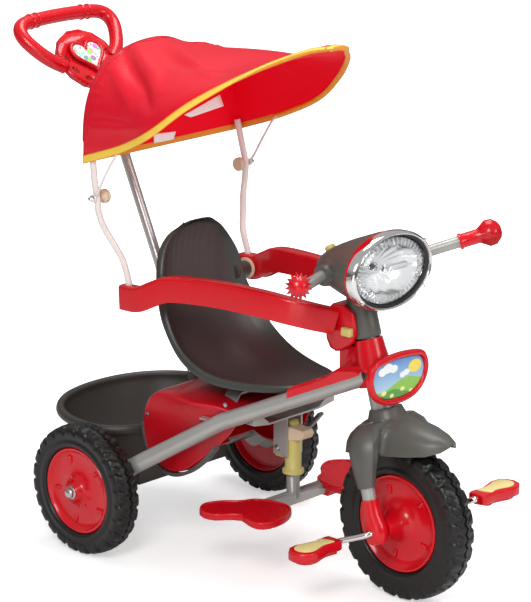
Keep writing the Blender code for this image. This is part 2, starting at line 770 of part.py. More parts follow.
# Upper steering: neck, lamp, bar and grips


def bar_path():
    """The handlebar: straight through the lamp, then swept out, forwards and up to the grips."""
    centre = steer_point(0, 0, BAR_HEIGHT)
    knee = Vector((0.134, centre.y - 0.016, centre.z - 0.003))
    tip = Vector((0.2215, fore(-0.4880), 0.5515))
    half = [Vector((SOCKET_REACH * 0.5, centre.y, centre.z)), Vector((SOCKET_REACH, centre.y - 0.001, centre.z)),
            knee + Vector((-0.022, 0.006, 0)), knee, knee.lerp(tip, 0.30), tip]
    return centre, half


def handlebar(steering):
    centre, half = bar_path()
    bend = smooth(half[1:5], 2)
    right = [on_side(p, -1.0) for p in reversed([half[0]] + bend + [half[5]])]
    path = right + [centre] + [half[0]] + bend + [half[5]]
    piece("handlebar", tube(path, BAR_RADIUS, 10), "silver_paint", steering)


def grip(label, side, steering):
    """A ball-ended grip: an inner flange, a plain shaft and a finned ball with a flat end."""
    tip = bar_path()[1][5]
    knee = bar_path()[1][4]
    way = (on_side(tip, side) - on_side(knee, side)).normalized()
    frame = along(on_side(tip, side), way)
    rows = [(0.0134, 0.0134, -0.0500), (0.0134, 0.0134, -0.0460), (GRIP_RADIUS, GRIP_RADIUS, -0.0440),
            (GRIP_RADIUS, GRIP_RADIUS, -0.0180)]
    for angle in (-48, -15, 20, 52):
        share = math.cos(math.radians(angle))
        height = 0.0020 + 0.86 * GRIP_FIN_RADIUS * math.sin(math.radians(angle))
        rows.append((max(GRIP_BALL_RADIUS * share, 0.0085), GRIP_FIN_RADIUS * share, height))
    rows.append((0.0070, 0.0070, 0.0205))
    rings = []
    for low, high, height in rows:
        ring = []
        for i in range(2 * GRIP_FINS):
            t = math.pi * i / GRIP_FINS
            r = high if i % 2 else low
            ring.append(frame @ Vector((r * math.cos(t), r * math.sin(t), height)))
        rings.append(ring)
    made = piece("grip_" + label, loft(rings), "red_gloss", steering, crease=28.0)
    cut(made, rod(frame @ Vector((0, 0, -0.08)), frame @ Vector((0, 0, GAP)), BAR_RADIUS + 2.5 * GAP, 12))


def neck_sleeve(steering):
    low = HEAD_HIGH + HEAD_PLAY + 0.0062
    bore = STEERER_RADIUS + GAP
    profile = [(bore, low), (NECK_RADIUS - 0.001, low), (NECK_RADIUS, low + 0.010), (NECK_RADIUS, NECK_TOP),
               (bore, NECK_TOP)]
    piece("neck_sleeve", turned(profile, STEER, 20), "dark_grey", steering)


def lamp_rows():
    """The lamp housing's sections as (y, half width, half height, middle height), front to back."""
    return (
        (LAMP_FACE_Y, 0.0900, 0.0600, LAMP_CENTRE_Z),
        (fore(-0.4520), 0.0880, 0.0587, 0.5300),
        (fore(-0.4300), 0.0780, 0.0525, 0.5275),
        (fore(-0.4000), 0.0650, 0.0440, 0.5240),
        (fore(-0.3750), 0.0520, 0.0350, 0.5215),
        (fore(-0.3540), 0.0380, 0.0255, 0.5190),
        (fore(-0.3390), 0.0230, 0.0160, 0.5175),
    )


def lamp_rings(inset):
    """The housing's rings, or those of the pocket inside it."""
    rings = []
    for y, across, tall, middle in lamp_rows()[:5] if inset else lamp_rows():
        y = y - 0.010 if inset and y == LAMP_FACE_Y else y
        ring = round_section(1.0, 20)
        rings.append([Vector((a * (across - 1.5 * inset), y, middle + b * (tall - inset))) for a, b in ring])
    return rings


def lamp_housing(steering):
    """A round-backed shell with a neck, two ribbed bar sockets and a button well."""
    made = piece("lamp_housing", loft(lamp_rings(0.0)), "dark_grey", steering)
    join(made, rod(steer_point(0, 0, NECK_TOP + GAP), steer_point(0, 0, BAR_HEIGHT), NECK_RADIUS, 16))
    centre, half = bar_path()
    for side in SIDES.values():
        profile = [(0.0, 0.030), (SOCKET_RADIUS + 0.0015, 0.030)]
        for start in (0.0540, 0.0620, 0.0700):
            profile += [(SOCKET_RADIUS + 0.0015, start), (SOCKET_RADIUS, start + 0.0015), (SOCKET_RADIUS, start + 0.0040)]
        profile += [(SOCKET_RADIUS - 0.001, SOCKET_REACH), (0.0, SOCKET_REACH)]
        join(made, turned(profile, side_frame(centre, side), 12))
    pocket = loft(lamp_rings(LAMP_WALL))
    cut(made, pocket)
    clear = BAR_RADIUS + GAP
    inner = bar_path()[1]
    path = [on_side(inner[2], -1), on_side(inner[1], -1), on_side(inner[0], -1), centre, inner[0], inner[1], inner[2]]
    cut(made, tube(path, clear, 10))
    cut(made, rod(steer_point(0, 0, NECK_TOP - 0.02), steer_point(0, 0, BAR_HEIGHT), STEERER_RADIUS + GAP, 16))
    well = button_frame()
    cut(made, rod(well @ Vector((0, 0, -0.005)), well @ Vector((0, 0, 0.02)), 0.0090 + RUNNING, 12))


def button_frame():
    """On the lamp's rear top: +Z points out of the housing."""
    return along((0.0, fore(-0.3500), 0.5395), (0.0, 0.577, 0.817))


def lamp_button(carrier):
    frame = button_frame()
    profile = [(0.0, -0.0008), (0.0088, -0.0008), (0.0088, 0.0060), (0.0070, 0.0085), (0.0, 0.0095)]
    piece("lamp_button", turned(profile, frame, 14), "pale_yellow", carrier)


def elliptic(profile, y, steps=20):
    """A turned outline stretched to the lamp's oval, its axis pointing out of the lamp's face."""
    frame = Matrix.Translation((0, y, LAMP_CENTRE_Z)) @ Matrix.Rotation(math.pi / 2, 4, "X")
    return turned(profile, frame, steps, LAMP_HALF_WIDTH / LAMP_HALF_HEIGHT)


def lamp_front(steering):
    """Chrome bezel, bowl reflector, lens and the bulb between them."""
    outer, inner, front = LAMP_HALF_HEIGHT, LAMP_HALF_HEIGHT - BEZEL_WIDTH, BEZEL_DEPTH
    groove = 0.0580
    bezel = [(groove, GAP), (outer - 0.0015, GAP), (outer, 0.004), (outer - 0.0004, front - 0.008),
             (outer - 0.0035, front - 0.0015), (outer - 0.006, front), (inner, front - 0.005), (inner, 0.0125),
             (groove, 0.0125)]
    piece("lamp_bezel", elliptic(bezel, LAMP_FACE_Y), "chrome", steering)
    rim = groove - 0.0005
    lens = [(rim, 0.0088), (rim, 0.0122), (inner - 0.0006, 0.0122), (inner - 0.0020, 0.0165), (0.0440, 0.0215),
            (0.0250, 0.0245), (0.0, 0.0255), (0.0, 0.0235), (0.0245, 0.0225), (0.0430, 0.0195), (0.0500, 0.0150),
            (0.0500, 0.0088)]
    piece("lamp_lens", elliptic(lens, LAMP_FACE_Y), "clear", steering)
    bowl = [(rim, GAP), (rim, 0.0085), (0.0530, 0.0085), (0.0430, -0.0100), (0.0270, -0.0200), (0.0120, -0.0235),
            (0.0062, -0.0240), (0.0062, -0.0258), (0.0120, -0.0255), (0.0275, -0.0222), (0.0445, -0.0120),
            (0.0515, GAP)]
    piece("lamp_reflector", elliptic(bowl, LAMP_FACE_Y), "mirror", steering)
    glass = [(0.0, -0.030), (0.0058, -0.030), (0.0058, -0.020), (0.0045, -0.0165), (0.0064, -0.0105),
             (0.0040, -0.0040), (0.0, -0.0025)]
    frame = Matrix.Translation((0, LAMP_FACE_Y, LAMP_CENTRE_Z)) @ Matrix.Rotation(math.pi / 2, 4, "X")
    piece("lamp_bulb", turned(glass, frame, 12), "clear", steering)


# Guard rail, latch and canopy stays


def guard_path():
    """Middle line of one guard arm, from its rear end to the yoke. Its front follows the column."""
    points = (
        (0.1390, -0.0180, 0.4275), (0.1385, -0.0550, 0.4300), (0.1330, -0.0850, 0.4440), (0.1265, -0.1200, 0.4570),
        (0.1130, -0.2050, 0.4630), (0.1030, -0.2900, 0.4630), (0.0870, -0.3380, 0.4570), (0.0600, -0.3680, 0.4470),
        (0.0200, -0.3880, 0.4340),
    )
    shares = (0.0, 0.0, 0.0, 0.14, 0.47, 0.81, 1.0, 1.0, 1.0)
    return smooth([(x, y - AHEAD * share, z) for (x, y, z), share in zip(points, shares)], 2)


def guard_arm(label, side):
    """A channel moulding, open below, that runs from the seat's side round to the yoke."""
    path = [on_side(p, side) for p in guard_path()]
    made = piece("guard_arm_" + label, sweep(path, box_section(GUARD_WIDTH, GUARD_HEIGHT, 0.35)), "red_gloss")
    wide, tall = GUARD_WIDTH - 2 * GUARD_WALL, GUARD_HEIGHT
    channel = [Vector(p) - Vector((0, 0, GUARD_WALL * 1.5)) for p in path[2:-2]]
    cut(made, sweep(channel, box_section(wide, tall, 0.3)))
    reach = YOKE_HALF_WIDTH + GAP
    cut(made, box((-reach, fore(-0.45), 0.38), (reach, fore(-0.33), 0.50)))
    foot = on_side(stay_path()[0], side)
    cut(made, stay_tube(side, 1.2 * GAP), rod(foot - Vector((0, 0, GAP)), foot + Vector((0, 0, 0.002)), STAY_RADIUS, 8))


def guard_yoke():
    """The block that joins the arms behind the neck and clips on the column."""
    outline = [(-0.3860, 0.3860), (-0.3740, 0.3900), (-0.3660, 0.4040), (-0.3640, 0.4300), (-0.3670, 0.4520),
               (-0.3770, 0.4630), (-0.4020, 0.4650), (-0.4240, 0.4540), (-0.4285, 0.4200), (-0.4200, 0.4050),
               (-0.4000, 0.3900)]
    upright = Matrix(((0, 0, 1, 0), (1, 0, 0, fore(0.0)), (0, 1, 0, 0), (0, 0, 0, 1)))
    bm = soften(slab(outline, 2 * YOKE_HALF_WIDTH, upright), 0.004, 2, 50.0)
    made = piece("guard_yoke", bm, "red_gloss")
    cut(made, rod(steer_point(0, 0, HEAD_HIGH + 0.006), steer_point(0, 0, 0.40), NECK_RADIUS + 0.0020, 24))
    cut(made, cover_sleeve(GAP), cover_saddle(GAP), cover_web(GAP))
    cut(made, latch_box(RUNNING, deeper=0.0033))


def latch_box(grow, deeper=0.0):
    """The latch button's block on the rider's right cheek, sunk into it."""
    half = LATCH_SIZE / 2 + Vector((0.0, grow, grow))
    low, high = LATCH_CENTRE - half, LATCH_CENTRE + half
    low.x -= 0.01 if grow else 0.0
    high.x += deeper
    return box(low, high)


def stay_path():
    """Middle line of a canopy stay, from its foot in the guard arm to its top in the canopy."""
    return [Vector(p) for p in (
        (0.1385, -0.0305, 0.4180), (0.1385, -0.0290, 0.4530), (0.1395, -0.0170, 0.4870), (0.1500, -0.0070, 0.5150),
        (0.1610, 0.0030, 0.5420), (0.1690, 0.0070, 0.5680), tuple(PIVOT), (0.1705, 0.0150, 0.6250),
        (0.1665, 0.0225, 0.6680))]


def stay_tube(side, grow=0.0):
    points = stay_path()
    path = points[:1] + smooth(points[1:], 2)
    return tube([on_side(p, side) for p in path], STAY_RADIUS + grow, 8, up=(0, 1, 0))


def canopy_stay(label, side):
    made = piece("canopy_rod_" + label, stay_tube(side), "white_paint")
    pivot = on_side(PIVOT, side)
    cut(made, rod(pivot - Vector((0.02, 0, 0)), pivot + Vector((0.02, 0, 0)), BOLT_RADIUS + GAP, 10))


def eye_x():
    """Middle of the wire's eye, just outside the stay."""
    return PIVOT.x + STAY_RADIUS + GAP + WIRE_RADIUS


def canopy_bolt(label, side):
    """It holds the wire's eye against the stay and screws into its knob."""
    head = eye_x() + WIRE_RADIUS + GAP
    inner = PIVOT.x - STAY_RADIUS - 0.012
    profile = [(0.0, inner), (BOLT_RADIUS, inner), (BOLT_RADIUS, head), (0.0060, head), (0.0060, head + 0.0012),
               (0.0040, head + 0.0014), (0.0036, head + 0.0065), (0.0, head + 0.0078)]
    piece("canopy_bolt_" + label, turned(profile, side_frame((0, PIVOT.y, PIVOT.z), side), 10), "chrome")


def canopy_knob(label, side, carrier):
    """A grooved hand knob on the inner end of the bolt."""
    start = PIVOT.x - STAY_RADIUS - 0.0012
    hole = BOLT_RADIUS + GAP
    profile = [(hole, start), (0.0060, start), (0.0060, start - 0.0045), (KNOB_RADIUS - 0.001, start - 0.0050),
               (KNOB_RADIUS, start - 0.0065), (KNOB_RADIUS - 0.0025, start - 0.0090), (KNOB_RADIUS, start - 0.0115),
               (KNOB_RADIUS - 0.001, start - 0.0140), (0.0, start - 0.0150), (0.0, start - 0.0125),
               (hole, start - 0.0125)]
    frame = side_frame((0, PIVOT.y, PIVOT.z), side)
    piece("canopy_knob_" + label, turned(profile, frame, 14), "cream", carrier)


# Canopy cloth and its wire


def canopy_stations():
    """Sections as (y, half width, hem height, crown height, arch power), rear to front."""
    coarse = [
        (0.0335, 0.1760, 0.6490, 0.8330, 0.60), (-0.0620, 0.1815, 0.6830, 0.8260, 0.72),
        (-0.1400, 0.1930, 0.7210, 0.8250, 0.84), (-0.2030, 0.1780, 0.7700, 0.8240, 0.92),
        (-0.2600, 0.1370, 0.8140, 0.8330, 0.92), (-0.2980, 0.0930, 0.8420, 0.8500, 0.85),
        (-0.3380, 0.0490, 0.8630, 0.8670, 0.80), (-0.3660, 0.0170, 0.8680, 0.8700, 0.70),
    ]
    sizes = smooth([Vector((y, w, power)) for y, w, hem, crown, power in coarse], 2)
    heights = smooth([Vector((hem, crown, 0.0)) for y, w, hem, crown, power in coarse], 2)
    return [(a.x, a.y, b.x, b.y, a.z) for a, b in zip(sizes, heights)]


def slump(x, y):
    """How far the cloth hangs lower on its left: at the rear shoulder and round the peak."""
    shoulder = 0.0150 * math.exp(-(((x - 0.062) / 0.040) ** 2)) * math.exp(-(((y - 0.0335) / 0.090) ** 2))
    peak = 0.0100 * max(0.0, min(1.0, x / 0.050)) * math.exp(-(((y + 0.350) / 0.045) ** 2))
    return shoulder + peak


def canopy_cloth(carrier):
    """One sheet: a back panel, an arched top that tapers to the peak, and soft folds."""
    columns = 18
    rows = []
    stations = canopy_stations()
    back_y, back_w, back_hem, back_crown, back_power = stations[0]

    def arch(station, row):
        y, half, hem, crown, power = station
        points = []
        for i in range(columns + 1):
            angle = math.pi * (i / columns - 0.5)
            x = half * math.copysign(abs(math.sin(angle)) ** 0.80, angle)
            z = hem + (crown - hem) * max(0.0, math.cos(angle)) ** power
            fold = 0.0035 * math.sin(2.6 * angle * 2 + 0.55 * row) * math.cos(angle) * math.exp(-row / 7.0)
            points.append(Vector((x, y, z - abs(fold) - slump(x, y))))
        return points

    top = arch(stations[0], 0)
    for share in (0.0, 0.33, 0.66):
        rows.append([Vector((p.x, back_y, back_hem + (p.z - back_hem) * share)) for p in top])
    for row, station in enumerate(stations):
        rows.append(arch(station, row))
    bm = bmesh.new()
    grid = [[bm.verts.new(p) for p in row] for row in rows]
    for low, high in zip(grid, grid[1:]):
        for a, b, c, d in zip(low, low[1:], high[1:], high):
            bm.faces.new((a, b, c, d))
    bmesh.ops.remove_doubles(bm, verts=bm.verts, dist=0.00002)
    bmesh.ops.dissolve_degenerate(bm, edges=bm.edges, dist=0.00002)
    bmesh.ops.recalc_face_normals(bm, faces=bm.faces)
    if sum(f.normal.z for f in bm.faces) < 0:
        bmesh.ops.reverse_faces(bm, faces=bm.faces)
    bmesh.ops.solidify(bm, geom=bm.faces, thickness=CLOTH)
    piece("canopy", bm, "red_cloth", carrier, 60.0)


def canopy_wire(carrier):
    """A wire bow from eye to eye, up and forwards into the hem and round the peak."""
    drop = CLOTH + WIRE_RADIUS + 0.0008
    side = []
    for y, half, hem, crown, power in canopy_stations()[2:-1]:
        inward = 0.0022 + 0.5 * CLOTH
        side.append(Vector((half - inward, y, hem - drop)))
    rise = [Vector((eye_x(), PIVOT.y, PIVOT.z)), Vector((eye_x(), PIVOT.y - 0.012, PIVOT.z + 0.014)),
            Vector((eye_x() + 0.001, PIVOT.y - 0.034, PIVOT.z + 0.050)),
            Vector((side[0].x + 0.001, side[0].y + 0.018, side[0].z - 0.014))]
    half = rise + side
    tip = canopy_stations()[-1]
    peak = [Vector((0.0, tip[0] + 0.004, tip[2] - drop))]
    path = half + peak + [on_side(p, -1.0) for p in reversed(half)]
    path = [p - Vector((0.0, 0.0, slump(p.x, p.y))) for p in path]
    made = piece("canopy_wire", tube(path, WIRE_RADIUS, 6), "white_paint", carrier)
    for sign in SIDES.values():
        x = eye_x() * sign
        join(made, rod((x - WIRE_RADIUS, PIVOT.y, PIVOT.z), (x + WIRE_RADIUS, PIVOT.y, PIVOT.z), 0.0062, 10))
        cut(made, rod((x - 0.01, PIVOT.y, PIVOT.z), (x + 0.01, PIVOT.y, PIVOT.z), BOLT_RADIUS + GAP, 10))


# Seat, fairing, basket and push handle


def seat_stations():
    """Rim half width, rim place and middle place of the seat shell, from nose to back top."""
    return (
        (0.014, (-0.3360, 0.3220), (-0.3370, 0.3210)),
        (0.040, (-0.3190, 0.3200), (-0.3220, 0.3150)),
        (0.060, (-0.2900, 0.3170), (-0.2900, 0.3050)),
        (0.079, (-0.2450, 0.3140), (-0.2400, 0.2950)),
        (0.095, (-0.1950, 0.3160), (-0.1850, 0.2895)),
        (0.103, (-0.1530, 0.3270), (-0.1330, 0.2940)),
        (0.105, (-0.1150, 0.3500), (-0.0870, 0.3150)),
        (0.101, (-0.0860, 0.3850), (-0.0520, 0.3500)),
        (0.093, (-0.0660, 0.4250), (-0.0320, 0.4000)),
        (0.087, (-0.0570, 0.4650), (-0.0260, 0.4500)),
        (0.072, (-0.0480, 0.4980), (-0.0290, 0.4930)),
        (0.050, (-0.0470, 0.5220), (-0.0390, 0.5230)),
        (0.022, (-0.0510, 0.5345), (-0.0500, 0.5370)),
    )


def seat_sheet():
    """The seat's upper skin with its edge rolled outwards and down."""
    columns = 8
    rows = []
    for half, rim, middle in seat_stations():
        row = []
        for i in range(columns + 1):
            t = 2 * i / columns - 1
            lift = abs(t) ** 2.6
            y = middle[0] + (rim[0] - middle[0]) * lift
            z = middle[1] + (rim[1] - middle[1]) * lift
            row.append(Vector((half * math.copysign(abs(t) ** 0.85, t), y, z)))
        rows.append(row)
    return rows


def seat():
    bm = bmesh.new()
    grid = [[bm.verts.new(p) for p in row] for row in seat_sheet()]
    for low, high in zip(grid, grid[1:]):
        for a, b, c, d in zip(low, low[1:], high[1:], high):
            bm.faces.new((a, b, c, d))
    bmesh.ops.recalc_face_normals(bm, faces=bm.faces)
    if sum(f.normal.z for f in bm.faces) < 0:
        bmesh.ops.reverse_faces(bm, faces=bm.faces)
    border = [e for e in bm.edges if e.is_boundary]
    rolled = bmesh.ops.extrude_edge_only(bm, edges=border)["geom"]
    lip = [v for v in rolled if isinstance(v, bmesh.types.BMVert)]
    centre = Vector((0.0, -0.150, 0.400))
    for vert in lip:
        away = vert.co - centre
        out = Vector((away.x, 0.0, 0.0)).normalized() * 0.006 if abs(away.x) > 0.02 else Vector()
        drop = Vector((0, 0.002, -0.013)) if vert.co.z < 0.36 else Vector((0, 0.011, -0.004))
        vert.co += out + drop
    bmesh.ops.recalc_face_normals(bm, faces=bm.faces)
    if sum(f.normal.z for f in bm.faces) < 0:
        bmesh.ops.reverse_faces(bm, faces=bm.faces)
    bmesh.ops.solidify(bm, geom=bm.faces, thickness=SEAT_WALL)
    made = piece("seat", bm, "charcoal", crease=50.0)
    reach = guard_path()[2].x - GUARD_WIDTH / 2 - 0.0032
    for side in SIDES.values():
        start, end = on_side((0.088, -0.052, 0.430), side), on_side((reach, -0.046, 0.430), side)
        join(made, rod(start, end, 0.0130, 14))


def strap(grow=0.0):
    """The seat's steel strap: flat over each tube and cranked up under the seat."""
    y_low, y_high = -0.206 - grow, -0.176 + grow
    level = tube_height(-0.191).z + TUBE_RADIUS + 0.0006 - grow
    side_x = tube_height(-0.191).x - 0.001 + grow
    top = seat_stations()[4][2][1] - SEAT_WALL - 0.0012 - STRAP_THICKNESS - grow
    outline = [(-side_x, level), (-0.086, level), (-0.058, top), (0.058, top), (0.086, level), (side_x, level)]
    thick = [(x, z + STRAP_THICKNESS + 2 * grow) for x, z in reversed(outline)]
    place = Matrix(((1, 0, 0, 0), (0, 0, 1, (y_low + y_high) / 2), (0, 1, 0, 0), (0, 0, 0, 1)))
    return slab(outline + thick, y_high - y_low, place)


def seat_bracket():
    """A steel strap bolted across the tubes, cranked up to the seat's underside."""
    made = piece("seat_bracket", strap(), "silver_paint")
    cut(made, *tube_cutters())


def fairing_rings():
    """Cross-sections of the moulded fairing, from one side to the other."""
    shape = ((-0.048, 0.196), (-0.049, 0.240), (-0.070, 0.270), (-0.104, 0.281), (-0.150, 0.277), (-0.200, 0.272),
             (-0.228, 0.262), (-0.237, 0.248), (-0.218, 0.216), (-0.186, 0.182), (-0.150, 0.155), (-0.116, 0.143),
             (-0.084, 0.148), (-0.058, 0.168))
    centre = Vector((0.0, -0.140, 0.212))
    rings = []
    for share, size in ((-1.0, 0.80), (-0.93, 0.94), (-0.75, 1.0), (0.0, 1.02), (0.75, 1.0), (0.93, 0.94), (1.0, 0.80)):
        ring = []
        for y, z in shape:
            tube_x = tube_height(min(max(y, -0.43), -0.095)).x
            half = min(0.131, tube_x - TUBE_RADIUS + 0.004)
            ring.append(Vector((share * half, centre.y + (y - centre.y) * size, centre.z + (z - centre.z) * size)))
        rings.append(ring)
    return rings


def rod_line(z):
    """The push rod's middle line at a height."""
    return ROD_FOOT + Vector((0.0, ROD_LEAN, 1.0)) * (z - ROD_FOOT.z)


def socket_shape(grow=0.0):
    return rod(rod_line(0.2150 - grow), rod_line(0.2720 + grow), 0.0130 + grow, 18)


def fairing_tunnel():
    """The open space under the fairing, between its two side skirts."""
    outline = ((-0.092, 0.100), (-0.092, 0.222), (-0.150, 0.238), (-0.212, 0.250), (-0.260, 0.254), (-0.260, 0.100))
    turn = Matrix.Rotation(math.pi / 2, 4, "Z") @ Matrix.Rotation(math.pi / 2, 4, "X")
    return slab(outline, 2 * 0.108, turn)


def rear_fairing():
    """The red moulding between the tubes, which also carries the push rod's socket."""
    made = piece("rear_fairing", faceted(loft(fairing_rings())), "red_matte")
    cut(made, *tube_cutters())
    cut(made, fairing_tunnel(), strap(GAP), socket_shape(GAP), faceted(loft(basket_rings(0.0024))))


def push_rod():
    """The long rod and the socket that holds its foot in the fairing."""
    made = piece("push_rod_socket", socket_shape(), "dark_grey")
    cut(made, rod(rod_line(0.2200 - GAP), rod_line(0.30), ROD_RADIUS + GAP, 18))
    top = 0.7290
    piece("push_rod", rod(rod_line(0.2200), rod_line(top), ROD_RADIUS, 18), "silver_paint")


def basket_rings(grow=0.0):
    """The bowl's rings: up the outside, over the rolled rim and down the inside."""
    middle = 0.047
    low, rim, wall = BASKET_FLOOR_Z - BASKET_WALL, BASKET_RIM_Z, BASKET_WALL
    rows = [(-0.074, low - grow), (-0.058, low + 0.008), (-0.030, 0.138), (-0.012, rim - 0.014 - grow),
            (-0.002, rim - 0.014 - grow)]
    if grow:
        rows.append((0.0, rim + 0.03))
    else:
        rows += [(0.0, rim - 0.008), (-0.003, rim - 0.001), (-0.009, rim), (-0.0145, rim - 0.006), (-0.033, 0.138),
                 (-0.060, BASKET_FLOOR_Z + 0.008), (-0.074, BASKET_FLOOR_Z)]
    rings = []
    for inset, z in rows:
        ring = []
        for i in range(32):
            t = 2 * math.pi * i / 32
            c, s = math.cos(t), math.sin(t)
            reach = BASKET_REAR_Y - middle if s > 0 else middle - BASKET_FRONT_Y
            inward = inset * (1.0 if s > 0 else 1.0 + 0.35 * s)
            x = (BASKET_HALF_X + inset + grow) * math.copysign(abs(c) ** 0.92, c)
            y = middle + (reach + inward + grow) * math.copysign(abs(s) ** 0.92, s)
            ring.append(Vector((x, y, z)))
        rings.append(ring)
    return rings


def basket():
    """A bowl with a tunnel moulded across its floor, through which the rear axle passes."""
    made = piece("basket", loft(basket_rings()), "basket_black")
    join(made, box((-0.104, -0.011, BASKET_FLOOR_Z - 0.001), (0.104, 0.011, 0.1215)))
    cut(made, rod((-0.17, 0, REAR_RADIUS), (0.17, 0, REAR_RADIUS), REAR_AXLE_RADIUS + GAP))


def push_handle():
    """A scalloped plate with side windows and a raised heart, and the loop above it."""
    scallops = []
    for i in range(3 * HANDLE_SCALLOPS):
        t = 2 * math.pi * i / (3 * HANDLE_SCALLOPS)
        r = HANDLE_PLATE_RADIUS - 0.0030 + 0.0030 * abs(math.cos(HANDLE_SCALLOPS / 2 * t))
        scallops.append((r * math.cos(t), r * math.sin(t)))
    made = piece("push_handle", slab(scallops, 0.011, HANDLE_FRAME), "red_gloss")
    half = [(-0.053, -0.006), (-0.074, 0.012), (-0.090, 0.036), (-0.0985, 0.060), (-0.0940, 0.0775), (-0.0780, 0.0870),
            (-0.040, 0.0905), (0.0, 0.0915)]
    loop = half + [(-u, v) for u, v in reversed(half[:-1])]
    path = [HANDLE_FRAME @ Vector((u, v, -0.0015)) for u, v in loop]
    join(made, tube(smooth(path, 2), HANDLE_TUBE_RADIUS, 8, up=HANDLE_FRAME.to_3x3() @ Vector((0, 0, 1))))
    join(made, rod(rod_line(0.7020), rod_line(0.7420), 0.0135, 16))
    for side in SIDES.values():
        for angle in (174.0, 204.0, 236.0):
            t = math.radians(angle)
            point = Vector((-side * 0.0465 * math.cos(t), 0.0465 * math.sin(t), 0))
            place = HANDLE_FRAME @ Matrix.Translation(point) @ Matrix.Rotation(side * (math.pi - t), 4, "Z")
            window = [(0.0055 * a, 0.0085 * b) for a, b in round_section(1.0, 8)]
            cut(made, slab(window, 0.05, place))
    cut(made, rod(rod_line(0.68), rod_line(0.7290 + GAP), ROD_RADIUS + GAP, 18))
    cut(made, slab(heart_outline(3 * GAP), 0.010, HANDLE_FRAME @ Matrix.Translation((0, 0, 0.0055))))
    panel = slab(heart_outline(0.0), 0.0085, HANDLE_FRAME @ Matrix.Translation((0, 0, 0.0051)))
    piece("handle_panel", soften(panel, 0.0015, 1, 50.0), "cream")


def heart_outline(grow):
    """A wide heart with a shallow notch, point down, a little above the plate's middle."""
    points = [(0.0, 0.005 + 0.0145 * (1 + grow / 0.028))]
    for i in range(2, 23):
        t = 2 * math.pi * i / 24
        u = 16 * math.sin(t) ** 3
        v = 13 * math.cos(t) - 5 * math.cos(2 * t) - 2 * math.cos(3 * t) - math.cos(4 * t)
        points.append((u * (0.0300 / 16 + grow / 14), 0.005 + v * 0.0285 / 15 * (1 + grow / 0.028)))
    return points


# Footrest


def foot_outline():
    """One footrest seen from above: a front lobe and a rear outer lobe."""
    points = [(0.178, -0.236), (0.167, -0.218), (0.146, -0.208), (0.119, -0.219), (0.096, -0.241), (0.073, -0.253),
              (0.059, -0.284), (0.059, -0.316), (0.076, -0.336), (0.104, -0.349), (0.138, -0.350), (0.155, -0.336),
              (0.153, -0.312), (0.145, -0.289), (0.158, -0.271), (0.173, -0.258)]
    return [(p.x, p.y) for p in smooth([Vector((x, y, 0)) for x, y in points], 2, closed=True)]


def footrest(carrier):
    """A post with a crossbar, and a foot plate on each end of the bar."""
    half = CROSSBAR_SIZE / 2
    bar = box((-CROSSBAR_HALF, POST_Y - half, CROSSBAR_Z - half), (CROSSBAR_HALF, POST_Y + half, CROSSBAR_Z + half))
    made = piece("footrest_frame", soften(bar, 0.0025, 1), "silver_paint", carrier)
    join(made, rod((0, POST_Y, CROSSBAR_Z), (0, POST_Y, 0.190), POST_RADIUS, 18))
    for label, side in SIDES.items():
        low, high = CROSSBAR_Z + 0.0005, CROSSBAR_Z + 0.0005 + FOOTREST_THICKNESS
        outline = [(x * side, y) for x, y in foot_outline()]
        place = Matrix.Translation((0, 0, (low + high) / 2))
        plate = soften(slab(outline, high - low, place), 0.0025, 1, 60.0)
        plate = piece("footrest_" + label, plate, "red_gloss", carrier)
        near, far = on_side((0.068, POST_Y - 0.0145, 0.0915), side), on_side((0.1040, POST_Y + 0.0145, 0.1130), side)
        near.x, far.x = min(near.x, far.x), max(near.x, far.x)
        join(plate, soften(box(near, far), 0.003, 1))
        g = half + GAP
        inner, outer = on_side((0.03, 0, 0), side).x, on_side((CROSSBAR_HALF + GAP, 0, 0), side).x
        cut(plate, box((min(inner, outer), POST_Y - g, CROSSBAR_Z - g), (max(inner, outer), POST_Y + g, CROSSBAR_Z + g)))


